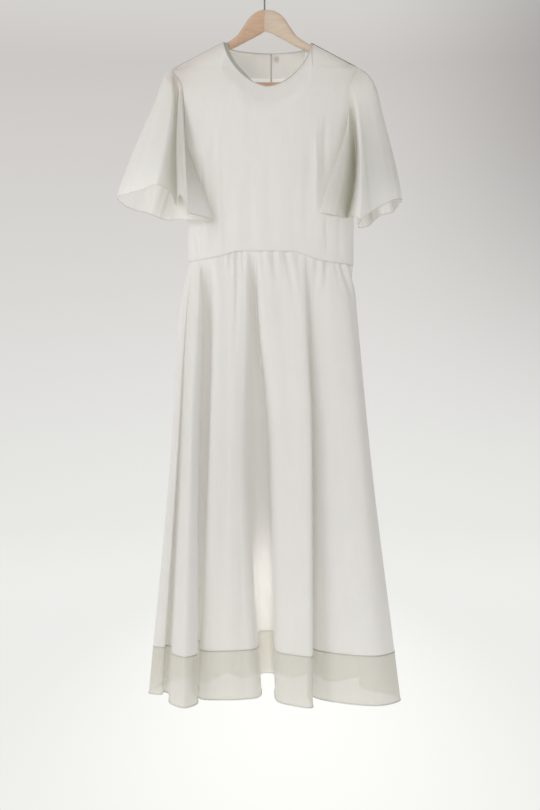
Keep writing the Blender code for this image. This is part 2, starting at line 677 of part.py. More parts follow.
def skirt_row(t):
    """One ring of the skirt in plan, at a share of the way from waist to hem."""
    points = []
    for table, front in ((SKIRT_FRONT, True), (SKIRT_BACK, False)):
        for row in table:
            x = smooth_through(SKIRT_STOPS, row[1:5], t)
            start = waist_y(row[1], front)
            y = mix(start, row[5], smooth_through(SKIRT_STOPS, DEPTH_SHARES, t))
            points.append(np.array((x, y, 0.0)))
    counts = [FRONT_STEPS] * len(SKIRT_FRONT) + [BACK_STEPS] * len(SKIRT_BACK)
    return ring_through(points, counts)


def gather_depth(x, t, front):
    """How far a gather draws the cloth in at a place across, under the waist seam."""
    total = 0.0
    length = waist_z(0.0) - HEM_Z
    for _, place, depth, reach in GATHERS_FRONT if front else GATHERS_BACK:
        start = min(1.0, GATHER_AT_SEAM + t * length / GATHER_START)
        fade = math.exp(-((t * length / reach) ** 2)) * start
        total += depth * fade * math.exp(-(((x - place) / GATHER_WIDTH) ** 2))
    return total


def skirt_grid(rows):
    """Rows of the whole skirt with its gathers drawn in."""
    waist = skirt_row(0.0)
    grid = np.array([skirt_row(t) for t in rows])
    for row, t in zip(grid, rows):
        row[:, 2] = mix(seam_z(waist[:, 0]), HEM_Z, t)
    normals = grid_normals(grid, closed=True)
    split = FRONT_STEPS * len(SKIRT_FRONT)
    for r, t in enumerate(rows):
        for c in range(grid.shape[1]):
            grid[r, c] -= normals[r, c] * gather_depth(waist[c, 0], t, c < split)
    return grid


def make_skirt():
    seam_t = 1 - BAND_HEIGHT / (waist_z(0.0) - HEM_Z)
    band_rows = (seam_t, 1.0)
    grid = skirt_grid(SKIRT_ROWS + band_rows)
    normals = grid_normals(grid, closed=True)
    normals[:, :, 2] = 0.0
    normals = unit(normals)
    split = FRONT_STEPS * (len(SKIRT_FRONT) - 1)
    total = grid.shape[1]
    pieces = (("front", list(range(split + 1))), ("back", list(range(split, total)) + [0]))
    cut = len(SKIRT_ROWS)
    for name, columns in pieces:
        body, facing = grid[: cut + 1, columns], normals[: cut + 1, columns]
        body = seam_apart(body, top=SEAM / 2, bottom=SEAM / 2, first=SEAM / 2, last=SEAM / 2)
        finish(wall_mesh(f"skirt_{name}", body, facing), "cloth")
        band, facing = grid[cut:, columns], normals[cut:, columns]
        band = seam_apart(band, top=SEAM / 2, first=SEAM / 2, last=SEAM / 2)
        finish(wall_mesh(f"hem_band_{name}", band, facing), "band")


def arm_outline(out):
    """Top and bottom of a hanger arm at a distance from the middle."""
    distances = column(ARM_PROFILE, 1)
    return [float(smooth_through(distances, column(ARM_PROFILE, k), out)) for k in (2, 3)]


def make_arm(name, side):
    """A wooden arm: rounded sections lofted from the middle out, bored for the hook's shank and for the bar."""
    mesh = bmesh.new()
    rings = []
    start = SEAM / 2
    distances = [start] + [row[1] for row in ARM_PROFILE[1:]]
    for out in sorted(distances + list(ARM_EXTRA)):
        x = side * out + (ARM_SHIFT_X if out > start else 0.0) * min(1.0, out / ARM_SHIFT_BY)
        top, bottom = arm_outline(out)
        middle, half = (top + bottom) / 2, (top - bottom) / 2
        thick = WOOD_HALF_THICK * (ARM_END_THIN if out == ARM_END_X else 1.0)
        ring = []
        for k in range(ARM_SIDES):
            angle = 2 * math.pi * (k + 0.5) / ARM_SIDES
            c, s = math.cos(angle), math.sin(angle)
            y = arm_y(x) + thick * math.copysign(abs(c) ** WOOD_SQUARENESS, c)
            z = middle + half * math.copysign(abs(s) ** WOOD_SQUARENESS, s)
            ring.append(mesh.verts.new((x, y, z)))
        rings.append(ring)
    for a, b in zip(rings, rings[1:]):
        for k in range(ARM_SIDES):
            m = (k + 1) % ARM_SIDES
            mesh.faces.new([a[k], a[m], b[m], b[k]])
    mesh.faces.new(rings[0][::-1])
    mesh.faces.new(rings[-1])
    bmesh.ops.recalc_face_normals(mesh, faces=mesh.faces[:])
    arm = add_object(name, mesh)
    for cutter in (SHANK_CUTTER, BAR_CUTTER):
        bore = arm.modifiers.new(f"bore_{cutter.name}", "BOOLEAN")
        bore.operation = "DIFFERENCE"
        bore.solver = "EXACT"
        bore.object = cutter
    finish(arm, "wood")


def add_cutter(name, radius, depth, location, rotation, sides):
    mesh = bmesh.new()
    bmesh.ops.create_cone(
        mesh, cap_ends=True, segments=sides, radius1=radius, radius2=radius, depth=depth
    )
    data = bpy.data.meshes.new(name)
    mesh.to_mesh(data)
    mesh.free()
    cutter = bpy.data.objects.new(name, data)
    cutter.location = location
    cutter.rotation_euler = rotation
    cutter.hide_render = True
    cutter.display_type = "WIRE"
    CUTTERS.objects.link(cutter)
    return cutter


def bar_y():
    return arm_y(ARM_SHIFT_X + ARM_END_X * BAR_SHARE)


def make_bar():
    bpy.ops.mesh.primitive_cylinder_add(
        vertices=BAR_SIDES, radius=BAR_RADIUS, depth=2 * BAR_END_X,
        location=(ARM_SHIFT_X, bar_y(), BAR_Z), rotation=(0, math.pi / 2, 0),
    )
    bar = bpy.context.object
    bar.name = "hanger_bar"
    for owner in list(bar.users_collection):
        owner.objects.unlink(bar)
    PARTS.objects.link(bar)
    bar.data.shade_smooth()
    bar.data.set_sharp_from_angle(angle=math.radians(SHARP_ANGLE))
    finish(bar, "wood")


def add_tube(name, points, radius, resolution=2, closed=False):
    """A round wire or cord through points, with filled ends."""
    curve = bpy.data.curves.new(name, "CURVE")
    curve.dimensions = "3D"
    curve.bevel_depth = radius
    curve.bevel_resolution = resolution
    curve.use_fill_caps = not closed
    spline = curve.splines.new("POLY")
    spline.points.add(len(points) - 1)
    for knot, point in zip(spline.points, points):
        knot.co = (*point, 1.0)
    spline.use_cyclic_u = closed
    tube = bpy.data.objects.new(name, curve)
    PARTS.objects.link(tube)
    return tube


def make_hook():
    """Question-mark hook: an open curl over the hang point, an easing bend, and a straight shank."""
    radius = HOOK_INNER_RADIUS + HOOK_WIRE / 2
    centre_z = -HOOK_INNER_RADIUS
    points = []
    for k in range(HOOK_CURL_STEPS + 1):
        angle = math.radians(HOOK_TIP_ANGLE - HOOK_CURL * k / HOOK_CURL_STEPS)
        points.append((radius * math.cos(angle), 0.0, centre_z + radius * math.sin(angle)))
    last_x, _, last_z = points[-1]
    bend = math.radians(HOOK_BEND)
    for k in range(1, HOOK_BEND_STEPS + 1):
        turn = bend * k / HOOK_BEND_STEPS
        across = radius * (math.cos(bend - turn) - math.cos(bend))
        drop = radius * (math.sin(bend) - math.sin(bend - turn))
        points.append((last_x - across, 0.0, last_z - drop))
    points.append((0.0, 0.0, WOOD_TOP_Z - SHANK_DEPTH))
    finish(add_tube("hanger_hook", points, HOOK_WIRE / 2), "steel")


def back_frame():
    """A frame on the back's outer side beside the slit: a point, and the directions across, up and out."""
    (f, v), step = BUTTON_PLACE, BUTTON_STEP
    here = panel_point(f, v, False)
    across = unit(panel_point(f + step, v, False) - here)
    up = unit(panel_point(f, v + step, False) - here)
    out = unit(np.cross(up, across))
    return here, across, unit(np.cross(across, out)) * -1.0, out


def make_button():
    """The back neck's button, and the cord loop that goes round it from the other side of the slit."""
    here, across, up, out = back_frame()
    centre = here + out * (BUTTON_THICK / 2 + 2 * SEAM)
    turn = Matrix((across, up, out)).transposed().to_4x4()
    bpy.ops.mesh.primitive_uv_sphere_add(segments=BUTTON_SIDES, ring_count=BUTTON_SIDES // 2, radius=1.0)
    button = bpy.context.object
    button.name = "back_button"
    shape = Matrix.Diagonal((BUTTON_RADIUS, BUTTON_RADIUS, BUTTON_THICK / 2, 1.0))
    button.data.transform(Matrix.Translation(centre) @ turn @ shape)
    for owner in list(button.users_collection):
        owner.objects.unlink(button)
    PARTS.objects.link(button)
    button.data.shade_smooth()
    finish(button, "button")
    reach = BUTTON_RADIUS + LOOP_RADIUS + SEAM
    tail = here[0] - (SLIT_X - SLIT_GAP / 2) + LOOP_TAIL
    points = [(-tail, LOOP_SPREAD)]
    for k in range(LOOP_STEPS + 1):
        angle = math.radians(LOOP_TURN * (0.5 - k / LOOP_STEPS))
        points.append((reach * math.cos(angle), reach * math.sin(angle)))
    points.append((-tail, -LOOP_SPREAD))
    lift = LOOP_RADIUS + 2 * SEAM
    places = [here + across * a + up * b + out * lift for a, b in points]
    finish(add_tube("back_loop", places, LOOP_RADIUS, resolution=1), "button")


def new_collection(name):
    made = bpy.data.collections.new(name)
    bpy.context.scene.collection.children.link(made)
    return made


for leftover in list(bpy.data.objects):
    bpy.data.objects.remove(leftover, do_unlink=True)
PARTS = new_collection("maxi_dress_on_hanger")
CUTTERS = new_collection("cutters")
SHANK_CUTTER = add_cutter(
    "shank_bore", HOOK_WIRE / 2 + SEAM, 2 * (SHANK_DEPTH + SEAM), (0, 0, WOOD_TOP_Z), (0, 0, 0), 16
)
BAR_CUTTER = add_cutter(
    "bar_bore", BAR_RADIUS + SEAM, 2 * (BAR_END_X + SEAM),
    (ARM_SHIFT_X, bar_y(), BAR_Z), (0, math.pi / 2, 0), 20,
)
make_bodice()
make_facings()
make_sleeves()
make_skirt()
make_arm("hanger_arm_left", -1)
make_arm("hanger_arm_right", 1)
make_bar()
make_hook()
make_button()
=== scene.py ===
import math

import bmesh
import bpy
import numpy as np
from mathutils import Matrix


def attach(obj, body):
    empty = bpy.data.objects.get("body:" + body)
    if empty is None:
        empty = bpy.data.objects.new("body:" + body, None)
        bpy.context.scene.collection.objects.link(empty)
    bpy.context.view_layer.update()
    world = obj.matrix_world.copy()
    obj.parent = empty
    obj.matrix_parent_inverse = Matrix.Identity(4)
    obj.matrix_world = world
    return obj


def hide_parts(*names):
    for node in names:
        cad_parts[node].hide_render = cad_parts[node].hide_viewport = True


# A maxi dress on a wooden hanger in a pale seamless studio. The cloth is drawn as thin sheets on the
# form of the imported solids, with finer folds. Metres, +Z up, the front faces -Y.
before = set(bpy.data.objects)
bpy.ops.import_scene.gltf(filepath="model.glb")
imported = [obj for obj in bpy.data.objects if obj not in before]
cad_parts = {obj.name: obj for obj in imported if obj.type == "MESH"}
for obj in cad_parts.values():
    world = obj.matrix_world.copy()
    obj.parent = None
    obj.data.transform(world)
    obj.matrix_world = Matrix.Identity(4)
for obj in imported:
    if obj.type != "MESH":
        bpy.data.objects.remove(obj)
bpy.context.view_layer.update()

# Shoulders and neck. NECK_FORWARD is how late the neck's edge leaves the shoulder for its lowest point.
SHOULDER_TIP_X = 0.181
SHOULDER_SLOPE = 0.585
SHOULDER_NECK_X = 0.084
SHOULDER_NECK_Z = -0.1455
NECK_HALF = 0.087
NECK_CENTRE_X = 0.006
NECK_DROP_FRONT = 0.0965
NECK_DROP_BACK = 0.0065
NECK_BOTTOM_Y = -0.055
NECK_BACK_Y = 0.046
NECK_ROUNDNESS = 1.7
NECK_FORWARD = 0.42
INSIDE_BAND = 0.0075

# Sections of the torso, flatter above the underarm, and the roll of its top edge over the hanger,
# between these shares up the panel
SECTION_POWER = 2.3
CHEST_FLATNESS = 0.8
FLATTEN_HEIGHT = 0.05
ARCH_FROM = 0.02
ARCH_FULL = 0.50
ROLL_START = 0.80
ROLL_END = 0.985

# Hem, and the slit down the back
HEM_Z = -1.4365
BAND_HEIGHT = 0.0935
SLIT_X = 0.0135
SLIT_BOTTOM_Z = -0.325
SLIT_GAP = 0.0016
SLIT_EASE = 0.05
SLIT_BLEND = 0.06

# Hanger: its arms start a little to the right of the hook and bend forward
WOOD_HALF_THICK = 0.0062
WOOD_SQUARENESS = 0.85
ARM_SHIFT_X = 0.004
ARM_SHIFT_BY = 0.012
ARM_END_X = 0.196
ARM_FORWARD = 0.032
ARM_BEND = 1.3

# Waist seam: place across, height
WAIST_SEAM = (
    (-0.152, -0.584), (-0.095, -0.577), (-0.045, -0.566), (0.052, -0.5665), (0.112, -0.584),
    (0.178, -0.591),
)

# Torso: height, left edge, right edge, front depth, back depth
TORSO = (
    (-0.585, -0.1520, 0.1775, 0.055, 0.055),
    (-0.500, -0.1545, 0.1785, 0.063, 0.061),
    (-0.420, -0.1660, 0.1800, 0.080, 0.072),
    (-0.392, -0.1720, 0.1820, 0.083, 0.075),
    (-0.320, -0.1560, 0.1620, 0.078, 0.073),
    (-0.243, -0.1610, 0.1660, 0.060, 0.066),
    (-0.203, -0.1810, 0.1810, 0.052, 0.060),
    (-0.146, -0.1810, 0.1810, 0.034, 0.050),
)

# Armhole: height, front edge, back edge
ARMHOLE = (
    (-0.392, 0.000, 0.000), (-0.378, -0.026, 0.024), (-0.350, -0.042, 0.039), (-0.290, -0.050, 0.030),
    (-0.235, -0.044, -0.008), (-0.2085, -0.0400, -0.0180), (-0.204, -0.029, -0.029),
)
UNDERARM_V = 0.505

# Skirt folds: place across at the waist, hip, knee and hem, which are these shares down, depth at the
# hem, its share at the hip and at the knee
SKIRT_STOPS = (0.0, 0.12, 0.43, 1.0)
SKIRT_FRONT = (
    (-0.149, -0.169, -0.184, -0.226, -0.035, 0.16, 0.47),
    (-0.144, -0.158, -0.172, -0.202, -0.045, 0.16, 0.47),
    (-0.1405, -0.1525, -0.1700, -0.2000, -0.022, 0.12, 0.38),
    (-0.1375, -0.1460, -0.1620, -0.1880, -0.036, 0.14, 0.40),
    (-0.135, -0.143, -0.156, -0.180, -0.120, 0.15, 0.42),
    (-0.131, -0.134, -0.143, -0.151, -0.160, 0.17, 0.47),
    (-0.127, -0.126, -0.131, -0.127, -0.122, 0.20, 0.50),
    (-0.1215, -0.121, -0.127, -0.147, 0.028, 0.38, 0.56),
    (-0.112, -0.107, -0.113, -0.136, 0.030, 0.38, 0.56),
    (-0.105, -0.098, -0.104, -0.124, -0.085, 0.20, 0.50),
    (-0.076, -0.070, -0.070, -0.084, -0.094, 0.16, 0.47),
    (-0.050, -0.049, -0.051, -0.040, -0.088, 0.16, 0.47),
    (-0.036, -0.034, -0.038, -0.012, -0.070, 0.10, 0.36),
    (-0.027, -0.024, -0.020, -0.006, 0.156, 0.16, 0.36),
    (-0.019, -0.015, 0.003, 0.014, 0.160, 0.18, 0.40),
    (-0.012, -0.009, 0.019, 0.026, -0.105, 0.16, 0.47),
    (0.032, 0.038, 0.053, 0.052, -0.140, 0.16, 0.47),
    (0.077, 0.079, 0.089, 0.089, -0.160, 0.18, 0.50),
    (0.083, 0.0835, 0.0915, 0.086, -0.050, 0.05, 0.40),
    (0.094, 0.0945, 0.104, 0.108, -0.088, 0.10, 0.42),
    (0.129, 0.138, 0.156, 0.166, -0.130, 0.16, 0.47),
    (0.155, 0.166, 0.188, 0.220, -0.140, 0.16, 0.47),
    (0.174, 0.183, 0.207, 0.261, -0.096, 0.12, 0.38),
)
SKIRT_BACK = (
    (0.172, 0.178, 0.202, 0.252, -0.050, 0.16, 0.47),
    (0.163, 0.160, 0.172, 0.196, 0.020, 0.16, 0.47),
    (0.146, 0.146, 0.163, 0.196, 0.125, 0.16, 0.47),
    (0.118, 0.118, 0.128, 0.138, 0.075, 0.16, 0.47),
    (0.088, 0.088, 0.094, 0.098, 0.172, 0.16, 0.47),
    (0.058, 0.056, 0.056, 0.060, 0.120, 0.16, 0.47),
    (0.018, 0.018, 0.014, 0.010, 0.196, 0.16, 0.47),
    (-0.022, -0.026, -0.034, -0.046, 0.118, 0.16, 0.47),
    (-0.056, -0.060, -0.068, -0.080, 0.168, 0.16, 0.47),
    (-0.092, -0.096, -0.106, -0.122, 0.072, 0.16, 0.47),
    (-0.122, -0.130, -0.142, -0.170, 0.120, 0.16, 0.47),
    (-0.143, -0.158, -0.172, -0.208, 0.040, 0.16, 0.47),
)

# Steps from one fold of the skirt to the next
FRONT_STEPS = 16
BACK_STEPS = 20

# Gathers under the waist seam: place across, depth (a ridge is negative), width, reach down, lean to
# the right a metre
GATHERS_FRONT = (
    (-0.128, 0.0027, 0.0045, 0.05, 0.0), (-0.096, -0.003, 0.006, 0.09, 0.02),
    (-0.081, 0.0022, 0.003, 0.035, 0.0), (-0.068, 0.005, 0.0036, 0.04, -0.05),
    (-0.0545, 0.0066, 0.0036, 0.13, -0.02), (-0.044, 0.0034, 0.003, 0.045, 0.08),
    (-0.036, -0.0019, 0.003, 0.03, 0.0), (-0.006, 0.003, 0.003, 0.04, 0.1),
    (0.004, -0.0024, 0.004, 0.04, 0.05), (0.017, 0.0051, 0.0036, 0.06, 0.04),
    (0.027, -0.0022, 0.0034, 0.04, 0.0), (0.04, 0.0054, 0.004, 0.08, 0.16),
    (0.053, -0.0027, 0.005, 0.07, 0.1), (0.066, 0.0024, 0.003, 0.035, 0.0),
    (0.104, 0.0041, 0.0036, 0.05, -0.1), (0.113, -0.0024, 0.0036, 0.04, 0.0),
    (0.123, 0.0043, 0.0036, 0.06, -0.16), (0.139, 0.0024, 0.003, 0.035, 0.1),
    (0.151, 0.0049, 0.0034, 0.055, 0.22), (0.16, -0.0032, 0.0036, 0.06, 0.2),
    (0.168, 0.0054, 0.0036, 0.045, 0.25),
)
GATHERS_BACK = (
    (0.15, 0.003, 0.0036, 0.05, 0.0), (0.133, 0.0041, 0.0045, 0.08, 0.06),
    (0.118, -0.0024, 0.004, 0.05, 0.0), (0.102, 0.0046, 0.0042, 0.1, 0.0),
    (0.086, 0.0024, 0.003, 0.04, -0.04), (0.07, 0.0041, 0.004, 0.07, 0.05),
    (0.052, -0.0027, 0.005, 0.06, 0.0), (0.04, 0.0049, 0.0042, 0.11, -0.05),
    (0.02, 0.0024, 0.003, 0.04, 0.0), (-0.004, 0.0041, 0.004, 0.08, 0.04),
    (-0.02, -0.0024, 0.004, 0.05, 0.0), (-0.036, 0.0046, 0.0042, 0.1, -0.06),
    (-0.055, 0.0024, 0.003, 0.04, 0.0), (-0.074, 0.0041, 0.004, 0.07, 0.05),
    (-0.09, -0.0027, 0.0045, 0.06, 0.0), (-0.108, 0.0043, 0.0042, 0.09, -0.04),
    (-0.128, 0.003, 0.0034, 0.05, 0.0),
)

# Sleeve folds: place round the armhole (0 to 2), hem point, swell in x and y, share of the crown and
# of the lift
SLEEVE_LEFT = (
    (0.00, -0.292, -0.030, -0.4555, -0.0075, 0.000, 1.0, 0.0),
    (0.05, -0.266, -0.064, -0.4560, -0.007, -0.004, 0.9, 0.0),
    (0.10, -0.236, -0.090, -0.4520, -0.006, -0.008, 0.8, 0.0),
    (0.145, -0.206, -0.114, -0.4466, 0.008, -0.014, 0.5, 0.0),
    (0.185, -0.180, -0.060, -0.4560, 0.003, 0.006, 0.3, 0.0),
    (0.235, -0.174, -0.040, -0.4727, 0.002, 0.010, 0.2, 0.0),
    (0.295, -0.163, -0.100, -0.4620, -0.006, -0.010, 0.1, 0.0),
    (0.42, -0.152, -0.112, -0.4800, -0.002, -0.012, 0.0, 0.2),
    (0.52, -0.144, -0.124, -0.5080, 0.000, -0.014, 0.0, 0.4),
    (0.60, -0.148, -0.112, -0.5000, -0.002, -0.012, 0.0, 0.8),
    (0.74, -0.099, -0.058, -0.5075, 0.004, -0.006, 0.0, 0.8),
    (0.89, -0.153, -0.045, -0.5040, -0.005, -0.004, 0.0, 0.5),
    (1.00, -0.182, -0.004, -0.5000, -0.005, 0.000, 0.0, 0.0),
    (1.18, -0.176, 0.074, -0.4830, -0.002, 0.012, 0.0, -0.7),
    (1.36, -0.203, 0.090, -0.4855, -0.002, 0.012, 0.0, -0.4),
    (1.54, -0.228, 0.056, -0.4800, 0.000, 0.006, 0.1, 0.0),
    (1.72, -0.256, 0.050, -0.4730, -0.004, 0.006, 0.4, 0.0),
    (1.88, -0.284, 0.008, -0.4650, -0.006, 0.002, 0.8, 0.0),
)
SLEEVE_RIGHT = (
    (0.00, 0.270, -0.045, -0.4640, 0.014, 0.000, 1.0, 0.0),
    (0.12, 0.245, -0.078, -0.4720, 0.012, -0.006, 0.8, 0.0),
    (0.22, 0.207, -0.104, -0.4950, 0.008, -0.010, 0.5, 0.0),
    (0.32, 0.184, -0.122, -0.5135, 0.010, -0.014, 0.3, 0.2),
    (0.39, 0.174, -0.116, -0.5085, 0.012, -0.014, 0.2, 0.3),
    (0.45, 0.160, -0.046, -0.5000, 0.016, 0.008, 0.1, 0.3),
    (0.51, 0.142, -0.096, -0.5030, 0.010, -0.010, 0.0, 0.6),
    (0.60, 0.125, -0.104, -0.5010, 0.002, -0.014, 0.0, 0.8),
    (0.69, 0.107, -0.096, -0.4970, -0.004, -0.014, 0.0, 1.0),
    (0.86, 0.164, -0.046, -0.4970, 0.006, -0.006, 0.0, 0.5),
    (1.00, 0.193, -0.004, -0.4960, 0.005, 0.000, 0.0, 0.0),
    (1.18, 0.191, 0.074, -0.5000, 0.000, 0.012, 0.0, -0.7),
    (1.36, 0.214, 0.088, -0.4980, 0.002, 0.012, 0.0, -0.4),
    (1.54, 0.233, 0.050, -0.4835, 0.004, 0.006, 0.1, 0.0),
    (1.72, 0.259, 0.046, -0.4765, 0.008, 0.006, 0.4, 0.0),
    (1.88, 0.269, 0.000, -0.4650, 0.012, 0.002, 0.8, 0.0),
)
# Crown of each sleeve: share down at which it is highest, its height
CROWN_LEFT = (0.06, 0.0095)
CROWN_RIGHT = (0.12, 0.0190)
CROWN_SPREAD = 0.4
LIFT = 0.009
LIFT_REACH = 0.11
SLEEVE_STEPS = 14

# Hanger arm: distance out from the middle, top, bottom
ARM_PROFILE = (
    (0.000, -0.0775, -0.1215), (0.006, -0.0778, -0.1240), (0.012, -0.0790, -0.1272),
    (0.018, -0.0814, -0.1305), (0.024, -0.0850, -0.1340), (0.036, -0.0965, -0.1405),
    (0.046, -0.1120, -0.1462), (0.060, -0.1320, -0.1540), (0.078, -0.1455, -0.1625),
    (0.090, -0.1520, -0.1680), (0.130, -0.1754, -0.1930), (0.160, -0.1930, -0.2140),
    (0.168, -0.1980, -0.2290), (0.177, -0.2040, -0.2400), (0.186, -0.2125, -0.2400),
    (0.193, -0.2200, -0.2370), (0.196, -0.2250, -0.2320),
)

# Creases of the bodice: x and z at the upper end, x and z at the lower end, width, depth (a ridge is
# negative)
CREASES_FRONT = (
    (-0.098, -0.3, -0.104, -0.56, 0.0085, 0.0042),
    (-0.087, -0.31, -0.086, -0.6, 0.005, -0.0026),
    (-0.12, -0.33, -0.124, -0.56, 0.006, 0.0022),
    (-0.134, -0.5, -0.131, -0.59, 0.004, 0.0024),
    (-0.026, -0.38, -0.028, -0.6, 0.011, 0.002),
    (-0.052, -0.42, -0.05, -0.6, 0.008, -0.0012),
    (0.01, -0.33, 0.014, -0.6, 0.013, 0.001),
    (0.058, -0.4, 0.06, -0.6, 0.012, 0.0012),
    (0.122, -0.29, 0.116, -0.42, 0.006, 0.0032),
    (0.103, -0.3, 0.1, -0.48, 0.0055, -0.0028),
    (0.123, -0.49, 0.122, -0.56, 0.004, 0.0022),
    (0.088, -0.33, 0.082, -0.56, 0.009, 0.0014),
    (0.15, -0.47, 0.146, -0.59, 0.006, 0.0016),
)
CREASES_BACK = (
    (0.112, -0.29, 0.108, -0.57, 0.008, 0.0036),
    (0.094, -0.32, 0.092, -0.59, 0.0055, -0.0024),
    (0.06, -0.4, 0.064, -0.6, 0.011, 0.0018),
    (0.136, -0.42, 0.132, -0.59, 0.006, 0.002),
    (-0.06, -0.38, -0.056, -0.6, 0.011, 0.002),
    (-0.092, -0.31, -0.096, -0.57, 0.0075, 0.0034),
    (-0.108, -0.33, -0.11, -0.56, 0.005, -0.0022),
    (-0.03, -0.44, -0.032, -0.6, 0.009, -0.0012),
    (-0.128, -0.45, -0.124, -0.59, 0.006, 0.002),
)

# A crease's sway and its waves, its width at the top and its widening, and the shares along it at which
# it is full, has ended and how long its end takes
CREASE_SWAY = 0.0015
CREASE_WAVES = 5
CREASE_WIDTH = 0.65
CREASE_WIDENING = 0.5
CREASE_FULL = 0.45
CREASE_END = 1.12
CREASE_TAIL = 0.25

# Unevenness of the bodice: depth, cell across and down, offset, height under which it starts, its rise
BODICE_UNEVEN = (
    (0.0006, 0.022, 0.15, 0, -0.20, 0.12),
    (0.0002, 0.008, 0.05, 9, -0.22, 0.1),
    (0.0005, 0.05, 0.03, 0, 1.0, 0.1),
)
NOISE_CELLS = 64
SHORTEST = 1e-9
SHORTEST_STEP = 1e-6


def mix(a, b, share):
    return a + (b - a) * share


def unit(vectors):
    return vectors / np.maximum(np.linalg.norm(vectors, axis=-1, keepdims=True), SHORTEST)


def column(table, index):
    return np.array([row[index] for row in table])


def smooth_through(stops, values, at):
    """A smooth curve through values at rising stops that doesn't overshoot."""
    stops, values = np.asarray(stops, float), np.asarray(values, float)
    steps = np.diff(stops)
    slopes = np.diff(values) / steps
    tangents = np.zeros_like(values)
    tangents[0], tangents[-1] = slopes[0], slopes[-1]
    for i in range(1, len(values) - 1):
        before, after = slopes[i - 1], slopes[i]
        if before * after > 0.0:
            tangents[i] = 2.0 * before * after / (before + after)
    at = np.clip(at, stops[0], stops[-1])
    i = np.clip(np.searchsorted(stops, at, side="right") - 1, 0, len(steps) - 1)
    r = (at - stops[i]) / steps[i]
    start = values[i] * (1 + 2 * r) * (1 - r) ** 2 + tangents[i] * steps[i] * r * (1 - r) ** 2
    start = start + values[i + 1] * r * r * (3 - 2 * r)
    return start - tangents[i + 1] * steps[i] * r * r * (1 - r)


def share_between(t, low, high):
    return ((t - low) / (high - low))[:, None]


def ring_through(points, counts):
    """Closed smooth curves, one a row, through points[row, place], in counts[place] steps each."""
    total = points.shape[1]
    out = []
    for i in range(total):
        p = [points[:, (i + k - 1) % total] for k in range(4)]
        knots = [np.zeros(len(points))]
        for k in range(3):
            gap = np.maximum(np.linalg.norm(p[k + 1] - p[k], axis=1), SHORTEST_STEP)
            knots.append(knots[-1] + np.sqrt(gap))
        for step in range(counts[i]):
            t = knots[1] + (knots[2] - knots[1]) * step / counts[i]
            a = [mix(p[k], p[k + 1], share_between(t, knots[k], knots[k + 1])) for k in range(3)]
            b = [mix(a[k], a[k + 1], share_between(t, knots[k], knots[k + 2])) for k in range(2)]
            out.append(mix(b[0], b[1], share_between(t, knots[1], knots[2])))
    return np.stack(out, axis=1)


def ease(x):
    x = np.clip(x, 0.0, 1.0)
    return x * x * (3 - 2 * x)


def value_noise(u, v, seed):
    """Smooth noise between -1 and 1 over a plane, the same on every run."""
    lattice = np.random.default_rng(seed).uniform(-1, 1, (NOISE_CELLS, NOISE_CELLS))
    i, j = np.floor(u).astype(int), np.floor(v).astype(int)
    a, b = ease(u - i), ease(v - j)
    corner = [[lattice[(i + k) % NOISE_CELLS, (j + m) % NOISE_CELLS] for m in (0, 1)] for k in (0, 1)]
    return mix(mix(corner[0][0], corner[0][1], b), mix(corner[1][0], corner[1][1], b), a)


def grid_normals(grid, closed):
    """Outward directions of a grid whose rows run down and whose columns run right at the front."""
    if closed:
        across = np.roll(grid, -1, axis=1) - np.roll(grid, 1, axis=1)
    else:
        across = np.gradient(grid, axis=1)
    return unit(np.cross(unit(np.gradient(grid, axis=0)), unit(across)))


def waist_z(x):
    return smooth_through(column(WAIST_SEAM, 0), column(WAIST_SEAM, 1), x)


def torso_at(z):
    heights = column(TORSO, 0)
    return [smooth_through(heights, column(TORSO, k), z) for k in (1, 2, 3, 4)]


def armhole_at(z, tip_z):
    heights = column(ARMHOLE, 0)
    low, high = heights[0], heights[-1]
    fitted = low + (z - low) * (high - low) / (tip_z - low)
    return [smooth_through(heights, column(ARMHOLE, k), fitted) for k in (1, 2)]


def shoulder_z(x):
    return SHOULDER_NECK_Z - SHOULDER_SLOPE * (np.abs(x - ARM_SHIFT_X) - SHOULDER_NECK_X)


def arm_y(x):
    return -ARM_FORWARD * (np.abs(x - ARM_SHIFT_X) / ARM_END_X) ** ARM_BEND


def top_line(f, front):
    """Top edge of a bodice panel for places f from -1 to 1, the neck between -0.5 and 0.5."""
    w = np.sin(np.pi * np.clip(f, -0.5, 0.5))
    low = np.clip(1 - np.abs(w) ** NECK_ROUNDNESS, 0, 1) ** (1 / NECK_ROUNDNESS)
    edge = NECK_CENTRE_X + np.copysign(NECK_HALF, w)
    left_z, right_z = shoulder_z(NECK_CENTRE_X - NECK_HALF), shoulder_z(NECK_CENTRE_X + NECK_HALF)
    drop, depth = (NECK_DROP_FRONT, NECK_BOTTOM_Y) if front else (NECK_DROP_BACK, NECK_BACK_Y)
    neck_y = mix(arm_y(edge), depth, low ** NECK_FORWARD)
    neck_z = mix(left_z, right_z, (w + 1) / 2) - drop * low
    neck = (NECK_CENTRE_X + NECK_HALF * w, neck_y, neck_z)
    beside = NECK_CENTRE_X + np.copysign(NECK_HALF, f)
    x = mix(beside, np.copysign(SHOULDER_TIP_X, f), (np.abs(f) - 0.5) * 2)
    over = np.abs(f) >= 0.5
    return [np.where(over, a, b) for a, b in zip((x, arm_y(x), shoulder_z(x)), neck)]


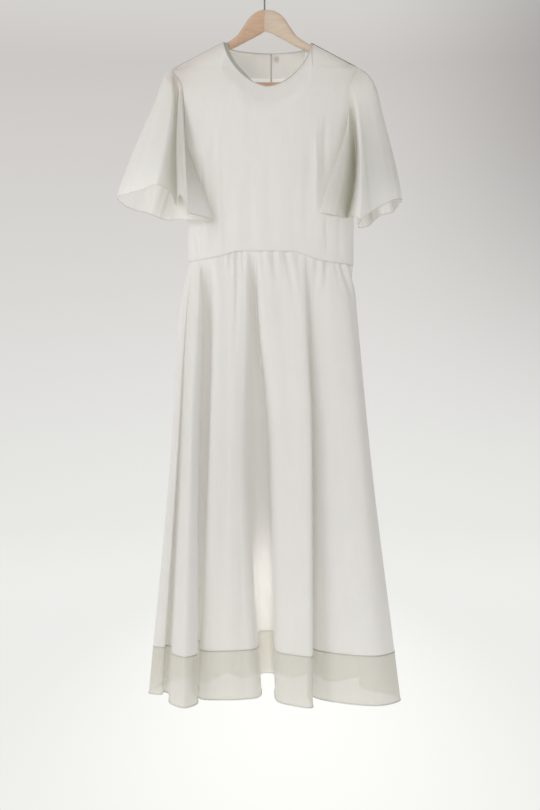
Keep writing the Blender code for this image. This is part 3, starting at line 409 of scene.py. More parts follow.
def panel_below_roll(f, v, front):
    """Points of the bodice at places f across and shares v up, under the rounded top edge."""
    top_x, top_y, top_z = top_line(f, front)
    low_share = (1 + np.sin(np.pi * f / 2)) / 2
    top_left, top_right = torso_at(top_z)[:2]
    share = mix(low_share, (top_x - top_left) / (top_right - top_left), ease(v))
    waist_left, waist_right = torso_at(TORSO[0][0])[:2]
    z = mix(waist_z(mix(waist_left, waist_right, low_share)), top_z, v)
    left, right, front_depth, back_depth = torso_at(z)
    front_edge, back_edge = armhole_at(z, shoulder_z(np.copysign(SHOULDER_TIP_X, f)))
    edge, depth = (front_edge, -front_depth) if front else (back_edge, back_depth)
    u = np.clip(np.abs(2 * share - 1), 0, 1)
    above = np.clip((z - ARMHOLE[0][0]) / FLATTEN_HEIGHT, 0, 1)
    y = mix(edge, depth, (1 - u ** SECTION_POWER) ** mix(1 / SECTION_POWER, CHEST_FLATNESS, above))
    roll = np.clip((v - ROLL_START) / (1 - ROLL_START), 0, 1)
    over_arm = ease((np.abs(f) - ARCH_FROM) / (ARCH_FULL - ARCH_FROM))
    arch = mix(mix(1 - roll * roll, np.sqrt(1 - roll * roll), over_arm), 1.0, np.abs(f) ** 4)
    return np.stack([mix(left, right, share), mix(top_y, y, arch), z], axis=-1)


def panel_grid(f, v, front):
    """Rows of a bodice panel for rising shares v, from its rounded top edge down."""
    f = np.asarray(f, float)[None, :]
    v = np.asarray(v, float)[::-1, None]
    grid = panel_below_roll(f + 0 * v, np.minimum(v, ROLL_END) + 0 * f, front)
    top = np.stack(top_line(f + 0 * v, front), axis=-1)
    turn = np.clip((v - ROLL_END) / (1 - ROLL_END), 0, 1) * math.pi / 2 + 0 * f
    grid[..., 0] = mix(grid[..., 0], top[..., 0], np.sin(turn))
    grid[..., 1] = mix(grid[..., 1], top[..., 1], 1 - np.cos(turn))
    grid[..., 2] = mix(grid[..., 2], top[..., 2], np.sin(turn))
    return grid


def creased(grid, normals, creases, hold, seed):
    """Presses creases and slight unevenness into a bodice grid, not where hold is 0."""
    x, z = grid[..., 0], grid[..., 2]
    depth = 0.0
    for x0, z0, x1, z1, width, deep in creases:
        share = (z0 - z) / (z0 - z1)
        centre = mix(x0, x1, share) + CREASE_SWAY * np.sin(share * CREASE_WAVES + seed)
        spread = width * (CREASE_WIDTH + CREASE_WIDENING * np.clip(share, 0, 1))
        reach = ease(share / CREASE_FULL) * ease((CREASE_END - share) / CREASE_TAIL)
        depth = depth + deep * reach * np.exp(-(((x - centre) / spread) ** 2))
    for k, (deep, across, tall, offset, top, rise) in enumerate(BODICE_UNEVEN):
        wave = value_noise(x / across + offset, z / tall, seed + k)
        depth = depth + deep * wave * ease((top - z) / rise)
    return grid - normals * (depth * hold)[..., None]


def add_object(name, data, place=(0, 0, 0), turn=(0, 0, 0)):
    thing = bpy.data.objects.new(name, data)
    bpy.context.scene.collection.objects.link(thing)
    thing.location = place
    thing.rotation_euler = turn
    return thing


def mesh_from_grid(name, grid, closed=False, flip=False):
    """One sheet from a grid of points. closed joins its last column to its first."""
    rows, columns = grid.shape[:2]
    faces = []
    for r in range(rows - 1):
        for c in range(columns if closed else columns - 1):
            upper, lower, right = r * columns, (r + 1) * columns, (c + 1) % columns
            face = (upper + c, lower + c, lower + right, upper + right)
            faces.append(face[::-1] if flip else face)
    data = bpy.data.meshes.new(name)
    data.from_pydata(grid.reshape(-1, 3).tolist(), [], faces)
    data.shade_smooth()
    return add_object(name, data)


def close_ends(thing, most_sides, merge=0.0):
    """Fills the open ends of a tube and points its faces out. merge joins points closer than that."""
    mesh = bmesh.new()
    mesh.from_mesh(thing.data)
    if merge:
        bmesh.ops.remove_doubles(mesh, verts=mesh.verts[:], dist=merge)
    bmesh.ops.holes_fill(mesh, edges=mesh.edges[:], sides=most_sides)
    bmesh.ops.recalc_face_normals(mesh, faces=mesh.faces[:])
    mesh.to_mesh(thing.data)
    mesh.free()
    thing.data.shade_smooth()
    return thing


def tube_mesh(name, points, radius, closed=False, sides=8, flat=1.0, out=None):
    """A cord or rolled edge along points. flat squeezes it in the direction out."""
    points = np.asarray(points, float)
    if closed:
        tangents = unit(np.roll(points, -1, axis=0) - np.roll(points, 1, axis=0))
    else:
        tangents = unit(np.gradient(points, axis=0))
    if out is None:
        out = np.cross(tangents, (0.0, 0.0, 1.0)) + 1e-6
    first = unit(out - tangents * np.sum(out * tangents, axis=1, keepdims=True))
    second = np.cross(tangents, first)
    angles = 2 * np.pi * np.arange(sides) / sides
    c, s = np.cos(angles)[None, :, None], np.sin(angles)[None, :, None]
    grid = points[:, None] + (c * first[:, None] * flat + s * second[:, None]) * radius
    if closed:
        grid = np.concatenate([grid, grid[:1]])
    return close_ends(mesh_from_grid(name, grid, closed=True), sides, merge=1e-7)


def new_material(name):
    material = bpy.data.materials.new(name)
    material.use_nodes = True
    return material, material.node_tree


def feed(tree, made, inputs):
    """Sets each input of a node to its constant, or links it to the output that feeds it."""
    for key, value in inputs.items():
        if isinstance(value, bpy.types.NodeSocket):
            tree.links.new(value, made.inputs[key])
        else:
            made.inputs[key].default_value = value


def node(tree, kind, inputs=None, **settings):
    made = tree.nodes.new(kind)
    for key, value in settings.items():
        setattr(made, key, value)
    feed(tree, made, inputs or {})
    return made


def noise(tree, vector, **inputs):
    return node(tree, "ShaderNodeTexNoise", {"Vector": vector, **inputs}).outputs["Fac"]


def blend(tree, share, a, b):
    inputs = {"Factor": share, "A": a, "B": b}
    return node(tree, "ShaderNodeMix", inputs, data_type="FLOAT").outputs["Result"]


def bump(tree, height, strength, distance, **inputs):
    inputs.update({"Height": height, "Strength": strength, "Distance": distance})
    return node(tree, "ShaderNodeBump", inputs).outputs["Normal"]


def ranged(tree, value, low, high):
    """A value from 0 to 1, moved to a range."""
    inputs = {"Value": value, "To Min": low, "To Max": high}
    return node(tree, "ShaderNodeMapRange", inputs).outputs["Result"]


def colour_ramp(tree, share, stops):
    """Colour at a share from 0 to 1, through stops of place and colour."""
    ramp = node(tree, "ShaderNodeValToRGB", {"Fac": share})
    elements = ramp.color_ramp.elements
    while len(elements) < len(stops):
        elements.new(0.5)
    for element, (place, colour) in zip(elements, stops):
        element.position = place
        element.color = (*colour, 1)
    return ramp.outputs["Color"]


# Sockets of the mix node that hold colours, which share their names with others
MIX_COLOUR_A = 6
MIX_COLOUR_B = 7
MIX_COLOUR_OUT = 2
WHITE = (1, 1, 1, 1)
STREAK_SCALE = (160, 160, 5)
STREAK_TONE = 0.97
# How much warmer in tone the painted crease shade is
CREASE_SHADE_WARMTH = 1.35


def cloth_material(name, colour, through, clear, crease_shade=0.0, reach=0.05):
    """Crepe georgette: streaks, crinkle and weave, light that comes through, a little see-through.

    The argument after clear is how much painted shade darkens folds narrower than reach, warmer in
    tone.
    """
    material, tree = new_material(name)
    tree.nodes.clear()
    where = node(tree, "ShaderNodeTexCoord").outputs["Object"]
    stretch = node(tree, "ShaderNodeMapping", {"Vector": where, "Scale": STREAK_SCALE})
    slub = noise(tree, stretch.outputs["Vector"], Scale=1.0, Detail=3.0)
    cloud = noise(tree, where, Scale=14.0, Detail=2.0)
    streak = [part * STREAK_TONE for part in colour]
    tint = colour_ramp(tree, blend(tree, 0.45, slub, cloud), ((0.3, streak), (0.7, colour)))
    # Painted shade: ambient occlusion darkens the colour in narrow creases, warmer in tone
    if crease_shade:
        near = node(tree, "ShaderNodeAmbientOcclusion", {"Distance": reach}, samples=6)
        crease_shade_colour = (1 - crease_shade, 1 - crease_shade, 1 - crease_shade * CREASE_SHADE_WARMTH, 1)
        inputs = {"Factor": near.outputs["AO"], MIX_COLOUR_A: crease_shade_colour, MIX_COLOUR_B: WHITE}
        shaded = node(tree, "ShaderNodeMix", inputs, data_type="RGBA")
        inputs = {0: tint, 1: shaded.outputs[MIX_COLOUR_OUT]}
        tint = node(tree, "ShaderNodeVectorMath", inputs, operation="MULTIPLY").outputs[0]
    crinkle = noise(tree, where, Scale=1300.0, Detail=4.0, Roughness=0.7)
    inputs = {"Vector": where, "Scale": 700.0, "Distortion": 2.5, "Detail": 2.0}
    threads = node(tree, "ShaderNodeTexWave", inputs, wave_type="BANDS", bands_direction="Z")
    fine = bump(tree, blend(tree, 0.35, crinkle, threads.outputs["Fac"]), 0.35, 0.0003)
    soft = bump(tree, slub, 0.12, 0.0012, Normal=fine)
    shader = node(tree, "ShaderNodeBsdfPrincipled", {
        "Base Color": tint, "Normal": soft, "Roughness": 0.9, "Specular IOR Level": 0.18,
        "Sheen Weight": 0.12, "Sheen Roughness": 0.6,
    })
    glow = node(tree, "ShaderNodeBsdfTranslucent", {"Color": tint, "Normal": soft})
    body = node(tree, "ShaderNodeMixShader", {0: through, 1: shader.outputs[0], 2: glow.outputs[0]})
    gaps = node(tree, "ShaderNodeBsdfTransparent")
    whole = node(tree, "ShaderNodeMixShader", {0: clear, 1: body.outputs[0], 2: gaps.outputs[0]})
    node(tree, "ShaderNodeOutputMaterial", {"Surface": whole.outputs[0]})
    return material


def wood_material(name, light, dark, grain_turn):
    """Satin varnished beech: long grain, fine pores and a slightly uneven gloss."""
    material, tree = new_material(name)
    along = node(tree, "ShaderNodeMapping", {
        "Vector": node(tree, "ShaderNodeTexCoord").outputs["Object"],
        "Rotation": (0, grain_turn, 0), "Scale": (14, 220, 220),
    })
    grain = noise(tree, along.outputs["Vector"], Scale=1.0, Detail=6.0, Distortion=0.6)
    feed(tree, tree.nodes["Principled BSDF"], {
        "Base Color": colour_ramp(tree, grain, ((0.32, dark), (0.66, light))),
        "Normal": bump(tree, grain, 0.2, 0.0003), "Roughness": ranged(tree, grain, 0.38, 0.58),
        "Coat Weight": 0.12, "Coat Roughness": 0.35,
    })
    return material


def metal_material(name, colour, roughness):
    """Drawn wire, its gloss slightly uneven."""
    material, tree = new_material(name)
    brush = noise(tree, node(tree, "ShaderNodeTexCoord").outputs["Object"], Scale=900.0)
    feed(tree, tree.nodes["Principled BSDF"], {
        "Base Color": (*colour, 1), "Metallic": 1.0, "Normal": bump(tree, brush, 0.1, 0.0001),
        "Roughness": ranged(tree, brush, roughness * 0.8, roughness * 1.3),
    })
    return material


def dress(thing, material, *replaced, slot="cloth"):
    """Gives a piece its material and body, and hides the nodes that it stands for; its slot is not
    used.
    """
    thing.data.materials.clear()
    thing.data.materials.append(material)
    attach(thing, "root")
    if replaced:
        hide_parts(*replaced)


def cloth_sheet(name, grid, material, slot="cloth", **form):
    """A sheet in place of the solid of this name."""
    dress(mesh_from_grid(f"{name}_cloth", grid, **form), material, name, slot=slot)


def welt(name, points, radius, material, slot="cloth", **form):
    """A seam, binding or rolled edge along points."""
    dress(tube_mesh(name, points, radius, **form), material, slot=slot)


CLOTH = (0.925, 0.916, 0.905)
# The lined and sleeve cloth carry painted crease shade
LINED = cloth_material("lined_georgette", CLOTH, through=0.44, clear=0.02, crease_shade=0.11, reach=0.016)
SLEEVE = cloth_material("sleeve_georgette", CLOTH, through=0.50, clear=0.05, crease_shade=0.21)
SHEER = cloth_material("sheer_georgette", (0.77, 0.752, 0.70), through=0.40, clear=0.18)
SEAM = cloth_material("band_seam", (0.70, 0.69, 0.63), through=0.2, clear=0.0)
FACED = cloth_material("facing_georgette", CLOTH, through=0.5, clear=0.35)
HEM = cloth_material("hem_georgette", (0.86, 0.845, 0.815), through=0.3, clear=0.0)
EDGE = cloth_material("rolled_edge", (0.62, 0.61, 0.575), through=0.12, clear=0.0)
# Near-black cloth for the right shoulder seam: painted shade of the dress's dark right edge
SHADE = cloth_material("painted_shade_seam", (0.22, 0.215, 0.20), through=0.1, clear=0.0)
# Grey cloth for the binding's inner side at the left of the neck: painted shade
NECK_INSIDE_SHADE = cloth_material("inside_binding_painted_shade", (0.50, 0.50, 0.455), through=0.2, clear=0.0)
# The arms are lit and shaded copies of one beech: the left darker as painted shade, the right lighter
# as painted light
WOOD_LEFT_SHADED = wood_material("beech_left_painted_shade", (0.66, 0.46, 0.32), (0.58, 0.39, 0.26), 0.75)
WOOD_RIGHT_LIT = wood_material("beech_right_painted_light", (0.67, 0.55, 0.43), (0.60, 0.48, 0.365), -0.75)
WOOD_BAR = wood_material("beech_bar", (0.60, 0.38, 0.26), (0.50, 0.29, 0.19), 0.0)
STEEL = metal_material("hook_steel", (0.13, 0.125, 0.12), 0.32)

# Radius of each welt and rolled edge
BINDING_RADIUS = 0.0011
SHOULDER_SEAM_RADIUS = 0.0010
SLIT_EDGE_RADIUS = 0.0009
SLEEVE_EDGE_RADIUS = 0.0007
HEM_EDGE_RADIUS = 0.0012
BAND_SEAM_RADIUS = 0.0015
WAIST_SEAM_RADIUS = 0.0006

# Bodice: its rows, each span from, to and how many, and its columns beside the neck and under it
PANEL_ROWS = ((0, ROLL_START, 64), (0.81, ROLL_END, 22), (0.988, 1.0, 6))
SHOULDER_COLUMNS = 36
NECK_COLUMNS = 81
BACK_NECK_COLUMNS = 44
SIDE_CALM = 0.12
TOP_CALM = 0.12
WAIST_CALM = 0.06
WAIST_HOLD = 0.35
rows_v = np.concatenate([np.linspace(*span) for span in PANEL_ROWS])
front_f = np.concatenate([
    np.linspace(-1, -0.5, SHOULDER_COLUMNS)[:-1], np.linspace(-0.5, 0.5, NECK_COLUMNS),
    np.linspace(0.5, 1, SHOULDER_COLUMNS)[1:],
])


def edge_hold(f, v):
    """0 at the armhole, side seam and top edge, WAIST_HOLD at the waist, 1 inside."""
    f = np.asarray(f)[None, :]
    v = np.asarray(v)[::-1, None]
    waist_share = WAIST_HOLD + (1 - WAIST_HOLD) * ease(v / WAIST_CALM)
    return ease((1 - np.abs(f)) / SIDE_CALM) * waist_share * ease((1 - v) / TOP_CALM)


front = panel_grid(front_f, rows_v, True)
front_normals = grid_normals(front, False)
front = creased(front, front_normals, CREASES_FRONT, edge_hold(front_f, rows_v), seed=3)
cloth_sheet("bodice_front", front, LINED)

SLIT_F = math.asin((SLIT_X - NECK_CENTRE_X) / NECK_HALF) / math.pi
slit_lines = {}
for side, label in ((-1, "left"), (1, "right")):
    neck_half = np.linspace(SLIT_F, 0.5 * side, BACK_NECK_COLUMNS)
    half = np.sort(np.concatenate([neck_half, np.linspace(0.5, 1, SHOULDER_COLUMNS)[1:] * side]))
    grid = panel_grid(half, rows_v, False)
    middle = 0 if side > 0 else -1
    open_share = ease((grid[:, middle, 2] - SLIT_BOTTOM_Z) / SLIT_EASE)
    hold = edge_hold(half, rows_v)
    hold[:, middle] = 0
    grid = creased(grid, -grid_normals(grid, False), CREASES_BACK, hold, seed=11)
    moved = SLIT_X + side * SLIT_GAP * open_share / 2 - grid[:, middle, 0]
    near = np.clip(1 - np.abs(grid[..., 0] - grid[:, middle, 0][:, None]) / SLIT_BLEND, 0, 1)
    grid[..., 0] += moved[:, None] * near
    slit_lines[label] = grid[:, middle][grid[:, middle, 2] > SLIT_BOTTOM_Z]
    cloth_sheet(f"bodice_back_{label}", grid, LINED, flip=True)

# Neck facings, one layer inside the neck: piece, on the front, columns from, to and how many
FACINGS = (
    ("front", True, -0.38, 0.38, 60), ("back_left", False, -0.34, 0.03, 30),
    ("back_right", False, 0.03, 0.34, 30),
)
FACING_TOP = 0.0012
FACING_BOTTOM = 0.0482
FACING_ROWS = 14
FACING_INSET = 0.0016
FACING_CLEARANCE = 0.0002
PANEL_LENGTH = 0.42
facing_v = 1 - np.linspace(FACING_TOP, FACING_BOTTOM, FACING_ROWS)[::-1] / PANEL_LENGTH
for label, on_front, start, stop, count in FACINGS:
    grid = panel_grid(np.linspace(start, stop, count), facing_v, on_front)
    if label == "back_left":
        grid[:, -1, 0] = SLIT_X - SLIT_GAP / 2 - FACING_CLEARANCE
    elif label == "back_right":
        grid[:, 0, 0] = SLIT_X + SLIT_GAP / 2 + FACING_CLEARANCE
    grid = grid - grid_normals(grid, False) * (1 if on_front else -1) * FACING_INSET
    cloth_sheet(f"neck_facing_{label}", grid, FACED, flip=not on_front)

# Neck binding and seams of the bodice. The binding's inner side shows at the left of the neck, its grey
# colour painted shade.
INSIDE_BAND_END_F = -0.06
INSIDE_BAND_FADE = 0.16
INSIDE_BAND_TILT = np.array([0.0, 0.55, 0.0])
INSIDE_BAND_SHIFT = np.array([0.0, 0.0010, 0.0])
SLIT_MARGIN_F = 0.003
SHOULDER_SEAM_RAISE = 0.0009


def edge_line(f, on_front):
    return np.stack(top_line(f, on_front), axis=-1)


welt("neck_binding_front", edge_line(np.linspace(-0.5, 0.5, 120), True), BINDING_RADIUS, EDGE)
part = np.linspace(-0.5, INSIDE_BAND_END_F, 50)
line = edge_line(part, True)
inward = unit(np.cross(np.gradient(line, axis=0), (0.0, 1.0, 0.0)))
width = INSIDE_BAND * ease((INSIDE_BAND_END_F - part) / INSIDE_BAND_FADE)[:, None]
band = np.stack([line + (inward * k + INSIDE_BAND_TILT * k) * width + INSIDE_BAND_SHIFT
                 for k in (0.0, 0.35, 0.7, 1.0)])
dress(mesh_from_grid("neck_binding_inside", band), NECK_INSIDE_SHADE)
for side, label in ((-1, "left"), (1, "right")):
    line = edge_line(np.linspace(SLIT_F + SLIT_MARGIN_F * side, 0.5 * side, 60), False)
    welt(f"neck_binding_back_{label}", line, BINDING_RADIUS, EDGE)
    line = edge_line(np.linspace(0.5, 1.0, 50) * side, True)
    line[:, 2] += SHOULDER_SEAM_RAISE
    # The right shoulder seam is painted near black as shade; the left one takes the edge cloth
    welt(f"shoulder_seam_{label}", line, SHOULDER_SEAM_RADIUS, SHADE if side > 0 else EDGE)
    welt(f"slit_edge_{label}", slit_lines[label], SLIT_EDGE_RADIUS, EDGE)

# Sleeves: height shares of the armhole's points, from the shoulder to under the arm
ARMHOLE_V = np.array([1.0, 0.985, 0.95, 0.90, 0.83, 0.75, 0.67, 0.59, 0.54, UNDERARM_V])
SLEEVE_SEAM_GAP = 0.0004
SLEEVE_ROWS = ((0, 0.12, 12), (0.12, 1.0, 50))
COLUMN_STAGGER = 1e-7

# Fine folds of the sleeves: place round (0 to 2), width in places, depth, where it starts down
SLEEVE_FINE = (
    (0.03, 0.008, 0.0014, 0.35), (0.075, 0.008, -0.0012, 0.4), (0.36, 0.02, 0.0012, 0.35),
    (0.8, 0.018, 0.0014, 0.45), (1.1, 0.03, 0.002, 0.3), (1.27, 0.026, -0.0018, 0.3),
    (1.45, 0.03, 0.0022, 0.25), (1.63, 0.024, -0.0018, 0.35), (1.8, 0.028, 0.002, 0.3),
    (1.94, 0.02, -0.0014, 0.35),
)
FINE_FOLD_RISE = 0.5
FINE_FOLD_SWAY = 0.012

# Unevenness of a sleeve: depth, centre and radius of its ring in noise cells, cells down it, seed
SLEEVE_UNEVEN = (0.0007, 20, 9.0, 2.5, 5)
SLEEVE_UNEVEN_RISE = 0.2


def ring_noise(turn, down, middle, radius, stretch, seed):
    """Noise over a tube: turn is the angle round it, down the way along it."""
    u = middle + radius * np.cos(turn) + 0 * down
    return value_noise(u, middle + radius * np.sin(turn) + stretch * down, seed)


def armhole_points(side, around):
    """Points of the armhole: 0 at the shoulder, down the front to 1 under the arm, up the back to 2."""
    place = np.where(around <= 1, around, 2 - around) * (len(ARMHOLE_V) - 1)
    v = np.interp(place, np.arange(len(ARMHOLE_V)), ARMHOLE_V)
    order = np.argsort(v)
    found = [panel_grid([float(side)], v[order], on_front)[::-1, 0][np.argsort(order)]
             for on_front in (True, False)]
    return np.where((around <= 1)[:, None], found[0], found[1])


def sleeve_places(table):
    """Places round the armhole of a sleeve's columns."""
    stops = np.append(column(table, 0), 2.0)
    steps = np.arange(SLEEVE_STEPS) / SLEEVE_STEPS
    return np.concatenate([mix(stops[i], stops[i + 1], steps) for i in range(len(table))])


def sleeve_grid(table, side, crown, rows):
    """Rows of a sleeve from the armhole to the hem, with columns round it from the cap, front first."""
    places = column(table, 0)
    none = np.zeros(len(table))
    hem = np.column_stack([column(table, k) for k in (1, 2, 3)])
    moves = hem - armhole_points(side, places)
    swells = np.column_stack([column(table, 4), column(table, 5), none])
    spread = np.where(places > 0, np.sign(places - 1) * CROWN_SPREAD, 0.0)
    spread[places == 1] = CROWN_SPREAD
    crowns = np.column_stack([np.full(len(table), float(side)), spread, none])
    crown_reach, crown_height = crown
    crowns *= crown_height * column(table, 6)[:, None]
    lifts = np.column_stack([none, -LIFT * column(table, 7), none])
    rim = armhole_points(side, sleeve_places(table))
    rim[:, 0] += side * SLEEVE_SEAM_GAP
    t = np.asarray(rows)[:, None, None]
    high = t / crown_reach * np.exp(1 - t / crown_reach)
    near = t / LIFT_REACH * np.exp(1 - t / LIFT_REACH)
    shift = moves * t + swells * 4 * t * (1 - t) + crowns * high + lifts * near
    shift = shift + COLUMN_STAGGER * np.arange(len(table))[None, :, None]
    return rim + ring_through(shift, [SLEEVE_STEPS] * len(table)) * (t > 0)


sleeve_rows = np.concatenate([np.linspace(*SLEEVE_ROWS[0])[:-1], np.linspace(*SLEEVE_ROWS[1])])
t = sleeve_rows[:, None]
for label, table, side, crown in (("left", SLEEVE_LEFT, -1, CROWN_LEFT),
                                  ("right", SLEEVE_RIGHT, 1, CROWN_RIGHT)):
    grid = sleeve_grid(table, side, crown, sleeve_rows)
    normals = grid_normals(grid, True) * -side
    around = sleeve_places(table)
    depth = 0.0
    for place, width, deep, start in SLEEVE_FINE:
        centre = place + FINE_FOLD_SWAY * np.sin(4 * t + 7 * place)
        fold = np.exp(-(((around[None, :] - centre) / width) ** 2))
        depth = depth + deep * ease((t - start) / FINE_FOLD_RISE) * fold
    uneven = SLEEVE_UNEVEN[0] * ring_noise(around * math.pi, t, *SLEEVE_UNEVEN[1:])
    depth = depth + uneven * ease(t / SLEEVE_UNEVEN_RISE)
    grid = grid - normals * depth[..., None]
    cloth_sheet(f"sleeve_{label}", grid, SLEEVE, closed=True, flip=side > 0)
    welt(f"sleeve_hem_{label}", grid[-1], SLEEVE_EDGE_RADIUS, HEM, closed=True)
    seam = HEM if side > 0 else EDGE
    welt(f"armhole_seam_{label}", grid[0], SLEEVE_EDGE_RADIUS, seam, closed=True)

# Skirt: its rows from the waist to the band's seam and from there to the hem
LENGTH = float(waist_z(0.0)) - HEM_Z
SEAM_T = 1 - BAND_HEIGHT / LENGTH
GATHER_END_T = 0.16
skirt_t = np.concatenate([np.linspace(0, GATHER_END_T, 34)[:-1], np.linspace(GATHER_END_T, SEAM_T, 60)])
rows_t = np.concatenate([skirt_t, np.linspace(SEAM_T, 1.0, 12)[1:]])
FRONT_COLUMNS = FRONT_STEPS * len(SKIRT_FRONT)

# Small gathers between the named ones: ranges of depth, width, reach, lean and step to the next
SMALL_GATHERS = ((0.0003, 0.001), (0.0016, 0.003), (0.01, 0.045), (-0.08, 0.08), (0.007, 0.016))
SMALL_GATHERS_FROM = -0.146
SMALL_GATHERS_TO = 0.172
SMALL_GATHERS_SEED = 29

# Unevenness of the skirt, as a sleeve's, with cells a metre down
SKIRT_UNEVEN = ((0.0007, 32, 16.0, 2.2, 41), (0.0016, 32, 8.0, 1.4, 42))
SKIRT_UNEVEN_RISE = 0.12
BAND_SEAM_RAISE = 0.0002
BAND_SEAM_FLATNESS = 0.35


def waist_y(x, on_front):
    left, right, front_depth, back_depth = torso_at(TORSO[0][0])
    u = np.clip(np.abs(2 * (x - left) / (right - left) - 1), 0, 1)
    return (-front_depth if on_front else back_depth) * (1 - u ** SECTION_POWER) ** (1 / SECTION_POWER)


def skirt_rings(rows):
    """Level rings of the skirt in its large folds, one a row."""
    points = []
    for table, on_front in ((SKIRT_FRONT, True), (SKIRT_BACK, False)):
        for row in table:
            x = smooth_through(SKIRT_STOPS, row[:4], rows)
            share = smooth_through(SKIRT_STOPS, (0, row[5], row[6], 1), rows)
            points.append(np.stack([x, mix(waist_y(row[0], on_front), row[4], share), 0 * x], axis=-1))
    counts = [FRONT_STEPS] * len(SKIRT_FRONT) + [BACK_STEPS] * len(SKIRT_BACK)
    return ring_through(np.stack(points, axis=1), counts)


grid = skirt_rings(rows_t)
waist_x = grid[0, :, 0].copy()
grid[..., 2] = mix(waist_z(waist_x)[None, :], HEM_Z, rows_t[:, None])
normals = grid_normals(grid, True)
is_front = np.arange(grid.shape[1]) < FRONT_COLUMNS
down = rows_t[:, None] * LENGTH


def gather(place, deep, wide, reach, lean, start, rise, widening):
    """Depth of one gather, which starts at a share of it and is full rise below the seam."""
    fade = np.exp(-((down / reach) ** 2)) * np.minimum(1, start + down / rise)
    width = wide * (1 + widening * down / reach)
    return deep * fade * np.exp(-(((waist_x - (place + lean * down)) / width) ** 2))


depth = np.zeros(grid.shape[:2])
for table, mask in ((GATHERS_FRONT, is_front), (GATHERS_BACK, ~is_front)):
    for row in table:
        depth += gather(*row, start=0.45, rise=0.012, widening=0.5) * mask
draws = np.random.default_rng(SMALL_GATHERS_SEED)
for mask in (is_front, ~is_front):
    place = SMALL_GATHERS_FROM
    while place < SMALL_GATHERS_TO:
        deep, wide, reach, lean = [draws.uniform(*bounds) for bounds in SMALL_GATHERS[:4]]
        depth += gather(place, deep, wide, reach, lean, start=0.4, rise=0.008, widening=0.0) * mask
        place += draws.uniform(*SMALL_GATHERS[4])
turn = 2 * math.pi * np.arange(grid.shape[1])[None, :] / grid.shape[1]
for amount, *cells in SKIRT_UNEVEN:
    depth += amount * ease(down / SKIRT_UNEVEN_RISE) * ring_noise(turn, down, *cells)
grid = grid - normals * depth[..., None]

# The sides' seams split the rings into a front and a back, the band's seam into skirt and band
split = FRONT_COLUMNS - FRONT_STEPS
cut = len(skirt_t)
for label, columns in (("front", list(range(split + 1))),
                       ("back", list(range(split, grid.shape[1])) + [0])):
    cloth_sheet(f"skirt_{label}", grid[:cut, columns], LINED)
    cloth_sheet(f"hem_band_{label}", grid[cut - 1:, columns], SHEER, slot="hem_band")
welt("hem_rolled_edge", grid[-1], HEM_EDGE_RADIUS, HEM, slot="hem_band", closed=True, sides=6)
out = grid_normals(grid, True)[cut - 1]
welt("hem_band_seam", grid[cut - 1] + out * BAND_SEAM_RAISE, BAND_SEAM_RADIUS, SEAM, slot="hem_band",
     closed=True, sides=6, flat=BAND_SEAM_FLATNESS, out=out)
welt("waist_seam", grid[0], WAIST_SEAM_RADIUS, SLEEVE, closed=True, sides=6)

# Hanger arms: rounded wood in finer steps than the solid's, its tip thinned
ARM_RINGS = ((0.002, 0.19, 90), (0.1915, ARM_END_X, 5))
WOOD_SIDES = 32
TIP_X = 0.1914
TIP_LENGTH = 0.0046
TIP_THINNING = 0.3
MIDDLE_X = 0.0001
SHARP_ANGLE = math.radians(40)


def wooden_arm(name, side, material, replaced):
    outs = np.concatenate([[MIDDLE_X]] + [np.linspace(*span) for span in ARM_RINGS])
    top, bottom = [smooth_through(column(ARM_PROFILE, 0), column(ARM_PROFILE, k), outs) for k in (1, 2)]
    x = side * outs + ARM_SHIFT_X * np.minimum(1.0, outs / ARM_SHIFT_BY) * (outs > 2 * MIDDLE_X)
    angles = 2 * np.pi * (np.arange(WOOD_SIDES) + 0.5) / WOOD_SIDES
    c, s = np.cos(angles), np.sin(angles)
    tip = np.where(outs > TIP_X, 1 - TIP_THINNING * ((outs - TIP_X) / TIP_LENGTH) ** 2, 1.0)
    thick = WOOD_HALF_THICK * tip
    y = arm_y(x)[:, None] + thick[:, None] * np.sign(c) * np.abs(c) ** WOOD_SQUARENESS
    half_height = ((top - bottom) / 2)[:, None] * np.sign(s) * np.abs(s) ** WOOD_SQUARENESS
    z = ((top + bottom) / 2)[:, None] + half_height
    grid = np.stack([x[:, None] + 0 * y, y, z], axis=-1)
    thing = close_ends(mesh_from_grid(name, grid, closed=True), 0)
    thing.data.set_sharp_from_angle(angle=SHARP_ANGLE)
    dress(thing, material, replaced, slot="wood")


wooden_arm("hanger_arm_left_wood", -1, WOOD_LEFT_SHADED, "hanger_arm_left")
wooden_arm("hanger_arm_right_wood", 1, WOOD_RIGHT_LIT, "hanger_arm_right")
for name, material in (("hanger_bar", WOOD_BAR), ("hanger_hook", STEEL),
                       ("back_button", EDGE), ("back_loop", EDGE)):
    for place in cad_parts[name].material_slots:
        place.material = material

# Studio: one seamless bowl, its floor flat, its rim curved up into a wall and a dome
FLOOR_Z = -1.78
FLOOR_RADIUS = 4.0
RIM_RADIUS = 3.2
BOWL_RADIUS = 7.2
WALL_BOTTOM_Z = 1.42
WALL_TOP_Z = 4.6
DOME_HEIGHT = 3.4
CENTRE_RADIUS = 0.001
FLOOR_STEPS = 12
RIM_STEPS = 20
WALL_STEPS = 8
DOME_STEPS = 13
BOWL_COLUMNS = 72


